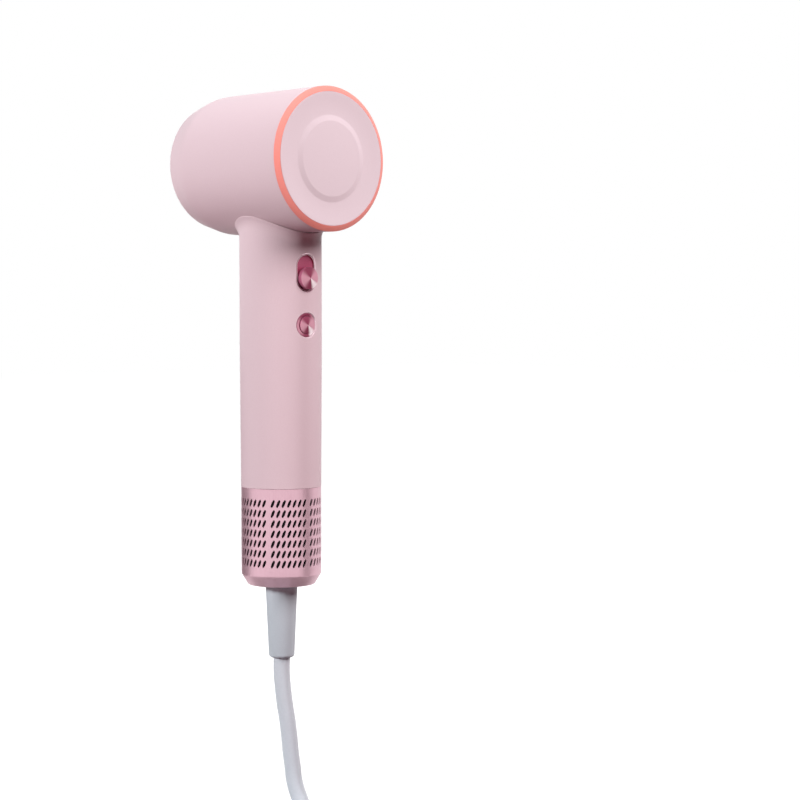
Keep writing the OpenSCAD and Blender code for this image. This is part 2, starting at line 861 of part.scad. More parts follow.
// Inner frame: hub on the core, three arms to the barrel wall and posts for the board
module head_frame() {
    color("#3a3b40")
        difference() {
            union() {
                head_ring(frame_hub_r, frame_hub_in, frame_y, frame_end_y);
                intersection() {
                    for (a = arm_angles)
                        at_head_angle(a) {
                            translate([frame_hub_r - over, -arm_w / 2, frame_y])
                                cube([arm_end_r, arm_w, frame_t]);
                            translate([arm_end_r - pad_t, -pad_w / 2, frame_y])
                                cube([pad_t + over, pad_w, frame_t]);
                        }
                    head_ring(arm_end_r, frame_hub_in, frame_y, frame_end_y);
                }
                for (a = arm_angles)
                    at_head_angle(a)
                        translate([post_circle, 0, frame_end_y - over])
                            cylinder(r = post_r, h = post_h + over);
            }
            for (a = arm_angles)
                at_head_angle(a)
                    translate([post_circle, 0, board_y - screw_len])
                        cylinder(r = pilot_r, h = screw_len + over);
        }
}

// Round control board screwed to the posts
module main_board() {
    color("#2f6b4a")
        difference() {
            along_head()
                translate([0, 0, board_y])
                    cylinder(r = board_r, h = board_t);
            for (a = arm_angles)
                at_head_angle(a)
                    translate([post_circle, 0, board_y - over])
                        cylinder(r = screw_hole_r, h = board_t + 2 * over);
        }
}

// Capacitors and relay block in front of the board, driver chip behind it
module board_parts() {
    color("#3d4a78") {
        for (side = [-1, 1])
            along_head()
                translate([side * capacitor_x, part_gap, board_y - capacitor_len])
                    cylinder(r = capacitor_r, h = capacitor_len);
        along_head()
            translate([-relay_w / 2, -relay_h - part_gap, board_y - relay_t])
                cube([relay_w, relay_h, relay_t]);
        along_head()
            translate([-chip_w / 2, -chip_w / 2, board_end_y])
                cube([chip_w, chip_w, chip_t]);
    }
}

// Three screws through the board into the posts
module board_screws() {
    color("#b4b6ba")
        for (a = arm_angles)
            at_head_angle(a)
                translate([post_circle, 0, board_end_y])
                    union() {
                        cylinder(r = screw_head_r, h = screw_head_h);
                        translate([0, 0, -screw_len + fit_gap])
                            cylinder(r = screw_r, h = screw_len);
                    }
}

// Tube that joins the handle to the barrel
module neck_tube() {
    color("#4a4b50")
        difference() {
            handle_ring(neck_r, neck_in, neck_low, head_z);
            along_head()
                translate([0, 0, -head_front])
                    cylinder(r = neck_top_r, h = head_front + head_rear);
        }
}

// Handle with its flare under the barrel, the slider slot and the button hole
module handle_shell() {
    outer = concat(
        [
            [grip_r - end_edge, -grip_low], [grip_r, end_edge - grip_low],
            [grip_r, grip_high], [handle_top_r, flare_z]
        ],
        arc([handle_top_r + flare_r, flare_z], flare_r, 180, 180 - flare_turn),
        [[flare_top_r, saddle_z + over]]
    );
    color("#d8bdc6")
        difference() {
            handle_turned(concat(
                [[handle_in, -grip_low]], outer, [[handle_in, saddle_z + over]]
            ));
            along_head()
                translate([0, 0, -head_front])
                    cylinder(r = saddle_r, h = head_front + head_rear);
            slot_bar(slot_r, switch_y, handle_top_r + over, slot_len);
            facing_rear(button_z)
                translate([0, 0, switch_y])
                    cylinder(r = bezel_hole_r, h = grip_r);
        }
}

// Tray in the slider slot, flush with the handle, slotted for the slider's stem
module slider_plate() {
    color("#b5586f")
        difference() {
            intersection() {
                slot_bar(plate_r, tray_y, handle_top_r + over, slot_len);
                grip_trim();
            }
            slot_bar(tray_r, tray_y + tray_floor, handle_top_r + 2 * over, slot_len);
            translate([0, 0, -stem_drop])
                slot_bar(stem_slot / 2, tray_y - over, tray_y + tray_floor + over, slot_len);
        }
}

// Round slider knob
module speed_slider() {
    color("#c98798")
        facing_rear(slider_z)
            rotate_extrude()
                polygon([
                    [0, knob_low_y], [knob_neck_r, knob_low_y], [knob_neck_r, knob_step_y],
                    [knob_r, knob_step_y], [knob_r, knob_y - knob_chamfer],
                    [knob_r - knob_chamfer, knob_y], [0, knob_y]
                ]);
}

// Carriage behind the tray: stem up to the knob, lever down into the slide switch
module slider_carriage() {
    plate_y0 = carriage_y - carriage_t;
    color("#d9d9dc")
        union() {
            block(
                [-carriage_w / 2, plate_y0, slider_z - carriage_h / 2],
                [carriage_w / 2, carriage_y, slider_z + carriage_h / 2]
            );
            facing_rear(slider_z - stem_drop)
                translate([0, 0, plate_y0])
                    cylinder(d = stem_w, h = knob_low_y - plate_y0);
            block(
                [-lever_w / 2, plate_y0 - lever_reach, slider_z - lever_w / 2],
                [lever_w / 2, plate_y0 + carriage_t / 2, slider_z + lever_w / 2]
            );
        }
}

// Polished ring around the button, flush with the handle
module button_bezel() {
    color("#c48a99")
        intersection() {
            facing_rear(button_z)
                rotate_extrude()
                    polygon([
                        [bezel_in, bezel_low_y], [bezel_r, bezel_low_y],
                        [bezel_r, grip_r + over], [bezel_in, grip_r + over]
                    ]);
            grip_trim();
        }
}

// Button cap with the flange that keeps it behind the bezel
module mode_button() {
    color("#d29aa8")
        facing_rear(button_z)
            rotate_extrude()
                polygon([
                    [0, stem_y], [stem_r, stem_y], [stem_r, flange_y - flange_t],
                    [flange_r, flange_y - flange_t], [flange_r, flange_y], [cap_r, flange_y],
                    [cap_r, cap_y - knob_chamfer / 2], [cap_r - knob_chamfer / 2, cap_y], [0, cap_y]
                ]);
}

// Plunger of the push switch, moved by the button
module tact_plunger() {
    color("#3a3a3e")
        facing_rear(button_z)
            translate([0, 0, plunger_y])
                cylinder(r = plunger_r, h = stem_y - plunger_y);
}

// Board behind the controls
module switch_board() {
    color("#2f6b4a")
        block([-switch_half_w, switch_y - board_t, board_low_z], [switch_half_w, switch_y, board_top_z]);
}

// Slide switch with a slot for the carriage's lever
module slide_switch() {
    lever_half = lever_w / 2 + lever_gap;
    color("#44464b")
        difference() {
            block([-slide_w / 2, switch_y, slide_start_z], [slide_w / 2, slide_top_y, slide_end_z]);
            block(
                [-lever_half, carriage_y - carriage_t - lever_reach - run_gap, slider_z - lever_half],
                [lever_half, slide_top_y + over, slider_z + slider_travel + lever_half]
            );
        }
}

// Push switch under the button
module tact_switch() {
    color("#44464b")
        difference() {
            block(
                [-tact_w / 2, switch_y, button_z - tact_w / 2],
                [tact_w / 2, tact_y, button_z + tact_w / 2]
            );
            facing_rear(button_z)
                translate([0, 0, tact_floor_y])
                    cylinder(r = tact_bore_r, h = tact_y);
        }
}

// Rubber sleeve that holds the motor tube, grooved for the lead wires
module motor_damper() {
    color("#2c2d30")
        difference() {
            handle_ring(damper_r, damper_in, damper_low, damper_top);
            block(
                [-groove_w / 2, -grip_r, damper_low - over],
                [groove_w / 2, groove_y, damper_top + over]
            );
        }
}

// Motor tube with its hub and the fixed guide vanes between them
module motor_housing() {
    color("#8d9096")
        union() {
            handle_ring(motor_r, duct_r, motor_low, motor_top);
            handle_turned([
                [bearing_seat_r, hub_low], [hub_r, hub_low], [hub_r, hub_top], [hub_in, hub_top],
                [hub_in, hub_low + hub_floor], [bearing_seat_r, hub_low + hub_floor]
            ]);
            for (i = [0:vanes - 1])
                rotate([0, 0, 360 * i / vanes])
                    block(
                        [hub_in + hub_wall / 2, -vane_t / 2, vane_low],
                        [duct_r + motor_wall / 2, vane_t / 2, vane_top]
                    );
        }
}

// Upper bearing plate in the hub
module bearing_plate() {
    color("#9a9da2")
        handle_ring(hub_in - fit_gap, bearing_seat_r, hub_top - hub_floor, hub_top);
}

// Two shaft bearings
module motor_bearings() {
    color("#b9bcc0") {
        handle_ring(bearing_r, bearing_in, hub_low, hub_low + bearing_h);
        handle_ring(bearing_r, bearing_in, hub_top - bearing_h, hub_top);
    }
}

// Stator ring with three teeth
module stator_core() {
    color("#6d7076")
        difference() {
            union() {
                handle_ring(stator_r, stator_in, stator_low, stator_top);
                for (i = [0:2])
                    rotate([0, 0, 120 * i])
                        translate([0, -tooth_w / 2, stator_low])
                            cube([stator_in + stator_back / 2, tooth_w, stator_h]);
            }
            translate([0, 0, stator_low - over])
                cylinder(r = tooth_in, h = stator_h + 2 * over);
        }
}

// Copper windings around the teeth
module stator_windings() {
    color("#b0683c")
        difference() {
            handle_ring(winding_out, winding_in, stator_low - winding_over, stator_top + winding_over);
            for (i = [0:2])
                rotate([0, 0, 120 * i])
                    translate([0, -tooth_w / 2 - tooth_fit / 2, stator_low - tooth_fit / 2])
                        cube([stator_r, tooth_w + tooth_fit, stator_h + tooth_fit]);
        }
}

// Steel rotor shaft
module rotor_shaft() {
    color("#c2c5c9")
        translate([0, 0, impeller_low])
            cylinder(r = shaft_r, h = shaft_top - impeller_low);
}

// Ring magnet on the shaft
module rotor_magnet() {
    color("#55585c")
        handle_ring(magnet_r, shaft_r + press_gap, stator_low - magnet_over, stator_top + magnet_over);
}

// Fan wheel: a flared hub with leaning blades
module impeller() {
    color("#d5d6d8")
        difference() {
            union() {
                translate([0, 0, impeller_low])
                    cylinder(r1 = impeller_hub_low_r, r2 = impeller_hub_r, h = impeller_h);
                intersection() {
                    for (i = [0:blades - 1])
                        rotate([0, 0, 360 * i / blades])
                            translate([0, 0, impeller_low + impeller_h / 2])
                                rotate([blade_lean, 0, 0])
                                    translate([shaft_r + over, -blade_t / 2, -impeller_h])
                                        cube([impeller_r, blade_t, 2 * impeller_h]);
                    translate([0, 0, impeller_low + over])
                        cylinder(r = impeller_r, h = impeller_h - 2 * over);
                }
            }
            translate([0, 0, impeller_low - over])
                cylinder(r = shaft_r + press_gap, h = impeller_h + 2 * over);
        }
}

// Cage that carries the filter, with a base for the strain relief and its clamp
module inlet_cage() {
    color("#3a3b40")
        difference() {
            union() {
                handle_ring(cage_r, cage_in, base_low, cage_top);
                handle_ring(cage_in + cage_wall / 2, relief_neck_r + fit_gap, base_low, base_top);
                for (side = [-1, 1])
                    translate([side * clamp_screw_x, 0, base_top - over])
                        cylinder(r = boss_r, h = relief_flange_t + over);
            }
            for (i = [0:panels - 1])
                rotate([0, 0, first_panel + i * panel_angle])
                    block(
                        [cage_in - 2 * over, -window_w / 2, window_low],
                        [cage_r + over, window_w / 2, window_top]
                    );
            block(
                [-groove_w / 2, -grip_r, window_top - over],
                [groove_w / 2, groove_y + over, cage_top + over]
            );
            for (side = [-1, 1])
                translate([side * clamp_screw_x, 0, base_low + pilot_floor])
                    cylinder(r = pilot_r, h = base_t + relief_flange_t);
        }
}

// Filter mesh around the cage
module filter_mesh() {
    color("#9fa3a8")
        handle_ring(filter_in + mesh_t, filter_in, filter_low, inlet_top);
}

// Perforated cover with panels of leaning slots and a chamfered lower end
module inlet_cover() {
    floor_r = inlet_r - chamfer_w;
    floor_in = floor_r - inlet_wall / 2;
    color("#d9b5c1")
        difference() {
            handle_turned([
                [inlet_in, inlet_top], [inlet_r - end_edge, inlet_top], [inlet_r, inlet_top - end_edge],
                [inlet_r, inlet_low + chamfer_h],
                [floor_r, inlet_low], [inlet_hole_r, inlet_low], [inlet_hole_r, inlet_low + inlet_wall],
                [floor_in, inlet_low + inlet_wall], [inlet_in, inlet_low + chamfer_h + inlet_wall / 2]
            ]);
            for (p = [0:panels - 1], c = [0:columns - 1], k = [0:rows - 1])
                rotate([0, 0, first_panel + p * panel_angle + (c - (columns - 1) / 2) * column_angle])
                    translate([inlet_r, 0, -grip_low - slot_start - k * row_pitch])
                        rotate([-slot_lean, 0, 0])
                            cube([4 * inlet_wall, slot_w, slot_h], center = true);
        }
}

// Bar that clamps the strain relief's flange to the cage
module cord_clamp() {
    color("#55565b")
        difference() {
            intersection() {
                block([-clamp_half, -clamp_w / 2, clamp_low], [clamp_half, clamp_w / 2, clamp_top]);
                translate([0, 0, clamp_low])
                    cylinder(r = cage_in - run_gap, h = clamp_h);
            }
            for (side = [-1, 1])
                translate([side * clamp_screw_x, 0, clamp_low - over])
                    cylinder(r = screw_hole_r, h = clamp_h + 2 * over);
        }
}

// Two screws through the clamp into the cage's bosses
module clamp_screws() {
    color("#b4b6ba")
        for (side = [-1, 1])
            translate([side * clamp_screw_x, 0, clamp_top])
                union() {
                    cylinder(r = screw_head_r, h = screw_head_h);
                    translate([0, 0, -clamp_screw_len])
                        cylinder(r = screw_r, h = clamp_screw_len + screw_head_h / 2);
                }
}

// Moulded strain relief: flange in the cage, tapered sleeve down the cord
module cord_relief() {
    tip_low = relief_tip_z + relief_round;
    round_steps = 6;
    tip = [
        for (i = [0:round_steps])
            let (t = 90 * i / round_steps)
            [relief_end_r + (relief_tip_r - relief_end_r) * cos(t), tip_low - relief_round * sin(t)]
    ];
    color("#bcc0c9")
        handle_turned(concat(
            [
                [0, clamp_low], [relief_flange_r, clamp_low], [relief_flange_r, base_top],
                [relief_neck_r, base_top], [relief_neck_r, base_low], [relief_r, base_low],
                [relief_r, inlet_low]
            ],
            tip,
            [[0, relief_tip_z]]
        ));
}

// Two lead wires from the clamp up to the main board
module lead_wires() {
    color("#c8c9cd")
        for (side = [-1, 1])
            swept_tube(
                [for (p = lead_route) [side * lead_x, p[0], p[1]]],
                lead_r, lead_sides, [1, 0, 0]
            );
}

// Power cord from the strain relief down to the coil
module power_cord() {
    color("#c4c7cf")
        swept_tube(cord_route, cord_r, cord_sides, [1, 0, 0]);
}

// Outline of the coiled cord's section, grown by a margin
function coil_outline(margin) =
    let (
        r = cord_r + margin,
        inner = coil_in,
        outer = coil_out,
        low = coil_low + cord_r,
        high = coil_top - cord_r
    )
    concat(
        arc([outer, low], r, -90, 0), arc([outer, high], r, 0, 90),
        arc([inner, high], r, 90, 180), arc([inner, low], r, 180, 270)
    );

// Outer shape of the two-layer coil
module cord_coil() {
    color("#c4c7cf")
        translate(coil_c)
            rotate_extrude()
                polygon(coil_outline(0));
}

// Strap around the coil
module coil_tie() {
    color("#8f9298")
        translate(coil_c)
            rotate([0, 0, -tie_angle / 2])
                rotate_extrude(angle = tie_angle)
                    difference() {
                        polygon(coil_outline(tie_t));
                        polygon(coil_outline(fit_gap));
                    }
}

// Short free end of the cord from the coil to the plug
module cord_tail() {
    color("#c4c7cf")
        swept_tube(tail_route, cord_r, cord_sides, [0, 1, 0]);
}

// Places children at the plug, with x running from the cord to the pins
module at_plug() {
    translate([plug_x, plug_y, plug_z])
        rotate([0, 0, 180])
            children();
}

// Plug: tapered relief and a flat body with round shoulders
module plug_body() {
    body_end = plug_relief_len + plug_len;
    half_w = plug_w / 2;
    half_t = plug_t / 2;
    shoulder_w = half_w - plug_neck;
    outline = concat(
        [[plug_relief_len - over, -plug_neck]],
        [
            for (i = [0:arc_steps])
                let (t = 90 * i / arc_steps)
                [plug_relief_len + plug_shoulder * (1 - cos(t)), -plug_neck - shoulder_w * sin(t)]
        ],
        arc([body_end - plug_face_r, -half_w + plug_face_r], plug_face_r, -90, 0),
        arc([body_end - plug_face_r, half_w - plug_face_r], plug_face_r, 0, 90),
        [
            for (i = [arc_steps:-1:0])
                let (t = 90 * i / arc_steps)
                [plug_relief_len + plug_shoulder * (1 - cos(t)), plug_neck + shoulder_w * sin(t)]
        ],
        [[plug_relief_len - over, plug_neck]]
    );
    side = [
        [plug_relief_len - over, plug_edge - half_t], [plug_relief_len + plug_face_r, -half_t],
        [body_end - plug_bevel, -half_t], [body_end, plug_bevel - half_t],
        [body_end, half_t - plug_bevel], [body_end - plug_bevel, half_t],
        [plug_relief_len + plug_face_r, half_t], [plug_relief_len - over, half_t - plug_edge]
    ];
    color("#b9bdc6")
        at_plug()
            union() {
                rotate([0, 90, 0])
                    cylinder(r1 = plug_tail_r, r2 = plug_relief_r, h = plug_relief_len);
                intersection() {
                    translate([0, 0, -half_t])
                        linear_extrude(plug_t)
                            polygon(outline);
                    rotate([90, 0, 0])
                        translate([0, 0, -half_w])
                            linear_extrude(plug_w)
                                polygon(side);
                }
            }
}

// Two round pins with domed tips
module plug_pins() {
    color("#c9cbce")
        for (side = [-1, 1])
            at_plug()
                translate([plug_relief_len + plug_len, side * pin_spacing / 2, 0])
                    rotate([0, 90, 0])
                        rotate_extrude()
                            polygon([
                                [0, 0], [pin_r, 0], [pin_r, pin_len - pin_tip],
                                [pin_r - pin_tip, pin_len], [0, pin_len]
                            ]);
}

head_shell();
accent_ring();
rear_cover();
outlet_seat();
magnet_ring();
outlet_grille();
outlet_funnel();
heat_sleeve();
heater_frame();
heater_coils();
thermostat();
thermal_fuse();
head_frame();
main_board();
board_parts();
board_screws();
neck_tube();
handle_shell();
slider_plate();
speed_slider();
slider_carriage();
button_bezel();
mode_button();
tact_plunger();
switch_board();
slide_switch();
tact_switch();
motor_damper();
motor_housing();
bearing_plate();
motor_bearings();
stator_core();
stator_windings();
rotor_shaft();
rotor_magnet();
impeller();
inlet_cage();
filter_mesh();
inlet_cover();
cord_clamp();
clamp_screws();
cord_relief();
lead_wires();
power_cord();
cord_coil();
coil_tie();
cord_tail();
plug_body();
plug_pins();
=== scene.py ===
from math import atan2, cos, hypot, pi, radians, sin, sqrt, tan
import bmesh
import bpy
from mathutils import Matrix, Vector


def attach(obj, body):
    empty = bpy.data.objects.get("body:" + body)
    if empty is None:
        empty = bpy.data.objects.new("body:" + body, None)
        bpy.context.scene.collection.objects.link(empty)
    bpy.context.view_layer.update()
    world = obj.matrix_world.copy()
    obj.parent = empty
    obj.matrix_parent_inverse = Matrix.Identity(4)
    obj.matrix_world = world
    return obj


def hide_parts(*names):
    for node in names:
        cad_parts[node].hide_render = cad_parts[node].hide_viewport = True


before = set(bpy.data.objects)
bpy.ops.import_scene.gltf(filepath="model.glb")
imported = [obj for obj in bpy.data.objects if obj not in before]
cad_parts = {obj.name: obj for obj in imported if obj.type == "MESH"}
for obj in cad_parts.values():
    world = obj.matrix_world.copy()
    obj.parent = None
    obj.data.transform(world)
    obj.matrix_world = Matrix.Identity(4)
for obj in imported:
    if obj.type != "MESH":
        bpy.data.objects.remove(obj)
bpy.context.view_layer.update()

# Inner frame and small mouldings: head frame, neck tube, inlet cage, cord clamp and switch bodies.
# Injection moulded from glass-filled nylon, so they are matt with a faint lighter mottle.
# They are screwed, clipped or pressed inside the barrel and the handle.


def linear(code):
    """Linear colour from an sRGB hex code."""
    parts = [int(code[i:i + 2], 16) / 255 for i in (1, 3, 5)]
    return [p / 12.92 if p <= 0.04045 else ((p + 0.055) / 1.055) ** 2.4 for p in parts] + [1]


def add(tree, kind, inputs, **settings):
    """Adds a shader node with its settings. Each input is a value or the output of another node."""
    made = tree.nodes.new("ShaderNode" + kind)
    for name, value in settings.items():
        setattr(made, name, value)
    for name, value in inputs.items():
        if isinstance(value, bpy.types.NodeSocket):
            tree.links.new(value, made.inputs[name])
        else:
            made.inputs[name].default_value = value
    return made


def material(name, shader):
    """New material whose shader sockets have these values, with its node tree and its shader."""
    made = bpy.data.materials.new(name)
    made.use_nodes = True
    surface = made.node_tree.nodes["Principled BSDF"]
    for socket, value in shader.items():
        surface.inputs[socket].default_value = value
    return made, made.node_tree, surface


def grain(tree, surface, size, colours, rough, lift, stretch=(1, 1, 1)):
    """Mottle of one grain size in metres: two colours, two roughness values and a bump, from one noise."""
    place = add(tree, "TexCoord", {})
    stretched = add(tree, "Mapping", {"Vector": place.outputs["Object"], "Scale": stretch})
    noise = add(tree, "TexNoise", {"Vector": stretched.outputs[0], "Scale": 1 / size, "Detail": 3})
    dark, light = linear(colours[0]), linear(colours[1])
    tint = add(tree, "Mix", {0: noise.outputs[0], 6: dark, 7: light}, data_type="RGBA")
    sheen = add(tree, "MapRange", {"Value": noise.outputs[0], "To Min": rough[0], "To Max": rough[1]})
    bump = add(tree, "Bump", {"Height": noise.outputs[0], "Strength": lift, "Distance": size / 4})
    tree.links.new(tint.outputs[2], surface.inputs["Base Color"])
    tree.links.new(sheen.outputs[0], surface.inputs["Roughness"])
    tree.links.new(bump.outputs[0], surface.inputs["Normal"])


def dress(nodes, finish):
    """Gives CAD nodes that keep their shape a finish."""
    for name in nodes:
        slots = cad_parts[name].data.materials
        slots.clear()
        slots.append(finish)


nylon, tree, surface = material("glass_filled_nylon", {"IOR": 1.53})
grain(tree, surface, 0.0012, ("#2E2F34", "#42434A"), (0.5, 0.65), 0.15)
dress(
    ["head_frame", "neck_tube", "inlet_cage", "cord_clamp", "slide_switch", "tact_switch", "tact_plunger"],
    nylon,
)

# Carriage under the slider knob, which runs along the handle's wall and moves the slide switch.
# Moulded from white acetal, which slides more easily than nylon and has a soft, even gloss.
acetal, tree, surface = material("white_acetal", {"IOR": 1.48})
grain(tree, surface, 0.001, ("#CFCFD3", "#E2E2E4"), (0.35, 0.45), 0.1)
dress(["slider_carriage"], acetal)

# Circuit boards with their parts: a round control board in the head and a narrow one behind the controls.
# Glass-epoxy laminate shows its weave under a green mask; the parts have blue sleeves, the wires pale PVC.
# The round board is screwed to posts of the head frame, the narrow one rests against the handle's wall.
weave_pitch = 0.0016
laminate, tree, surface = material(
    "green_solder_mask", {"IOR": 1.5, "Roughness": 0.4, "Coat Weight": 0.3, "Coat Roughness": 0.2},
)
place = add(tree, "TexCoord", {})
weave = add(
    tree, "TexBrick",
    {
        "Vector": place.outputs["Object"], "Color1": linear("#1F5A3A"), "Color2": linear("#2A6B48"),
        "Mortar": linear("#17482E"), "Scale": 1 / weave_pitch, "Mortar Size": 0.04,
    },
)
tree.links.new(weave.outputs["Color"], surface.inputs["Base Color"])
dress(["main_board", "switch_board"], laminate)

sleeve, tree, surface = material("capacitor_sleeve_pvc", {"IOR": 1.53})
grain(tree, surface, 0.002, ("#28356A", "#3C4A80"), (0.3, 0.4), 0.08)
dress(["board_parts"], sleeve)

wire_pvc, tree, surface = material("wire_pvc", {"IOR": 1.53})
grain(tree, surface, 0.0015, ("#BFC0C6", "#D2D3D8"), (0.4, 0.5), 0.08)
dress(["lead_wires"], wire_pvc)

# Heater in the barrel: mica plates on the core, turns of resistance wire, a sleeve and two safety cut-outs.
# Mica is pale, layered and slightly pearly; the wire is oxidised; the sleeve is ceramic fibre paper.
# The plates stand on the funnel's core tube, and the sleeve is gripped by the grille.
mica, tree, surface = material("mica_plate", {"IOR": 1.58, "Coat Weight": 0.4, "Coat Roughness": 0.3})
grain(tree, surface, 0.003, ("#B7A27C", "#D8C7A6"), (0.35, 0.55), 0.2, (1, 0.2, 1))
dress(["heater_frame", "thermal_fuse"], mica)

fibre, tree, surface = material("ceramic_fibre_paper", {"IOR": 1.5})
grain(tree, surface, 0.0015, ("#BEB6A6", "#D8D1C2"), (0.75, 0.9), 0.35)
dress(["heat_sleeve"], fibre)

heat_wire, tree, surface = material("oxidised_nickel_chrome", {"Metallic": 1})
grain(tree, surface, 0.001, ("#6E625C", "#978A82"), (0.35, 0.55), 0.1)
dress(["heater_coils"], heat_wire)

# Motor and fan in the handle: a die-cast tube and hub, a laminated stator, copper windings and a moulded fan.
# Cast alloy is satin and mottled, ground steel brighter, the fan pale nylon, the damper dull black rubber.
# The tube sits in the damper, which grips the handle's wall.
cast, tree, surface = material("die_cast_aluminium", {"Metallic": 1})
grain(tree, surface, 0.0012, ("#8A8D93", "#A2A5AA"), (0.35, 0.5), 0.12)
dress(["motor_housing", "bearing_plate"], cast)

steel, tree, surface = material("ground_steel", {"Metallic": 1})
grain(tree, surface, 0.0006, ("#A9ACB1", "#C3C6CA"), (0.2, 0.32), 0.06, (1, 1, 0.15))
dress(["rotor_shaft", "motor_bearings", "board_screws", "clamp_screws", "thermostat"], steel)

# The stator shows its sheets, 0.5 mm each. A wave texture at scale 1 repeats every wave_repeat.
sheet_pitch, wave_repeat = 0.0005, 2 * pi / 20
iron, tree, surface = material("laminated_stator_iron", {"Metallic": 0.9, "Roughness": 0.45})
place = add(tree, "TexCoord", {})
sheets = add(
    tree, "TexWave", {"Vector": place.outputs["Object"], "Scale": wave_repeat / sheet_pitch, "Distortion": 0},
    bands_direction="Z",
)
tint = add(tree, "Mix", {0: sheets.outputs[1], 6: linear("#54575C"), 7: linear("#7A7D83")}, data_type="RGBA")
tree.links.new(tint.outputs[2], surface.inputs["Base Color"])
dress(["stator_core"], iron)

copper, tree, surface = material(
    "enamelled_copper", {"Metallic": 1, "Coat Weight": 0.5, "Coat Roughness": 0.15},
)
grain(tree, surface, 0.0008, ("#8F4F2A", "#C27B4B"), (0.25, 0.35), 0.3, (1, 1, 0.2))
dress(["stator_windings"], copper)

sintered, tree, surface = material("plated_sintered_magnet", {"Metallic": 0.9})
grain(tree, surface, 0.0008, ("#45484C", "#606368"), (0.35, 0.5), 0.15)
dress(["rotor_magnet", "magnet_ring"], sintered)

fan_nylon, tree, surface = material("pale_glass_filled_nylon", {"IOR": 1.53})
grain(tree, surface, 0.001, ("#C6C7CA", "#DADBDD"), (0.4, 0.5), 0.1)
dress(["impeller"], fan_nylon)

rubber, tree, surface = material("black_damper_rubber", {"IOR": 1.52})
grain(tree, surface, 0.0008, ("#1E1F21", "#2C2D30"), (0.7, 0.85), 0.2)
dress(["motor_damper"], rubber)

# Outlet funnel: the grey cone in the middle of the outlet, with the closed core tube behind it.
# Moulded in one piece from grey heat-resistant plastic, with a satin skin and a fine mottle.
# Its rim sits inside the inner outlet ring, and its tube carries the heater.
mm, weld, head_z = 0.001, 2e-6, 98.5
head_axis, rearwards = Matrix.Translation((0, 0, head_z * mm)), Vector((0, 1, 0))


def rounded(corners, closed=True, steps=4):
    """Points of an outline in mm from corners (across, along, radius), each corner rounded to its radius."""
    points = []
    for i, (across, along, radius) in enumerate(corners):
        corner = Vector((across, along))
        if radius == 0 or not closed and i in (0, len(corners) - 1):
            points.append(corner)
            continue
        back = (Vector(corners[i - 1][:2]) - corner).normalized()
        ahead = (Vector(corners[(i + 1) % len(corners)][:2]) - corner).normalized()
        half = back.angle(ahead) / 2
        centre = corner + (back + ahead).normalized() * radius / sin(half)
        start = corner + back * radius / tan(half) - centre
        end = corner + ahead * radius / tan(half) - centre
        points += [centre + start.slerp(end, k / steps).normalized() * radius for k in range(steps + 1)]
    return points


def closed_line(shape, places):
    """New vertices at these places, and the edges that join them to a closed line."""
    line = [shape.verts.new(place) for place in places]
    return line, [shape.edges.new(ends) for ends in zip(line, line[1:] + line[:1])]


def turned(shape, points, axis, along, steps=128):
    """Spins an outline of (radius, position) points in mm about an axis through the origin of a placement."""
    side = Vector((0, 0, 1)) if abs(along.z) < 0.5 else Vector((1, 0, 0))
    line, edges = closed_line(shape, [axis @ ((side * p[0] + along * p[1]) * mm) for p in points])
    bmesh.ops.spin(
        shape, geom=line + edges, cent=axis.translation, axis=along, angle=2 * pi, steps=steps,
        use_merge=True,
    )


def piece(name, shape, finish, body, node, sharp=35):
    """Closes a shape and makes it an object that rides on a body and stands for a CAD node."""
    bmesh.ops.remove_doubles(shape, verts=shape.verts, dist=weld)
    bmesh.ops.recalc_face_normals(shape, faces=shape.faces)
    mesh = bpy.data.meshes.new(name)
    shape.to_mesh(mesh)
    shape.free()
    mesh.shade_smooth()
    mesh.set_sharp_from_angle(angle=radians(sharp))
    mesh.materials.append(finish)
    made = bpy.data.objects.new(name, mesh)
    bpy.context.scene.collection.objects.link(made)
    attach(made, body)
    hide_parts(node)
    return made


mouth_r, mouth_y, waist_r, waist_y, throat_r, throat_y = 20, -48.8, 17.6, -45.9, 11, -37.1
core_r, core_floor, floor_back, core_end, mouth_back = 12.2, -10.1, -8.9, 8, -47.6
bell = [(mouth_r, mouth_y, 0.2), (waist_r, waist_y, 8), (throat_r, throat_y, 0.25)]
core = [
    (throat_r, core_floor, 1.5), (0, core_floor, 0), (0, floor_back, 0), (throat_r, floor_back, 0),
    (throat_r, core_end, 0), (core_r, core_end, 0), (core_r, throat_y, 0), (mouth_r, mouth_back, 0),
]
# The grey is dark: partly the plastic's own colour, partly painted shade that keeps the deep core tube dark.
outlet_grey_painted_shade, tree, surface = material("grey_plastic_painted_shade", {"IOR": 1.55})
grain(tree, surface, 0.0009, ("#646467", "#6F6F72"), (0.4, 0.5), 0.06)
shape = bmesh.new()
turned(shape, rounded(bell + core), head_axis, rearwards)
piece("outlet_trumpet", shape, outlet_grey_painted_shade, "dryer", "outlet_funnel")

# Outlet grille: two rings around the air slot, joined by seven slanted spokes.
# Moulded in light grey plastic with a satin metallic paint; the ring edges are softly rounded.
# The outer ring runs back through the recess and is held by the seat.
ring_front, ring_soft, spoke_soft = -49.4, 0.35, 0.3
spokes, spoke_mid, spoke_y, spoke_lean, spoke_len, spoke_t, spoke_w = 7, 22.5, -47.8, 18, 3.5, 2.7, 1.9
silver_paint, tree, surface = material("satin_silver_paint", {"Metallic": 0.35, "IOR": 1.5})
grain(tree, surface, 0.0006, ("#A4A4A6", "#B0B0B2"), (0.38, 0.46), 0.05)
shape = bmesh.new()
for inside, outside, back, back_soft in ((23.5, 24.9, -40, 0.1), (20.1, 21.5, -46.4, 0.2)):
    turned(
        shape,
        rounded([
            (inside, ring_front, ring_soft), (outside, ring_front, ring_soft),
            (outside, back, back_soft), (inside, back, back_soft),
        ]),
        head_axis, rearwards,
    )
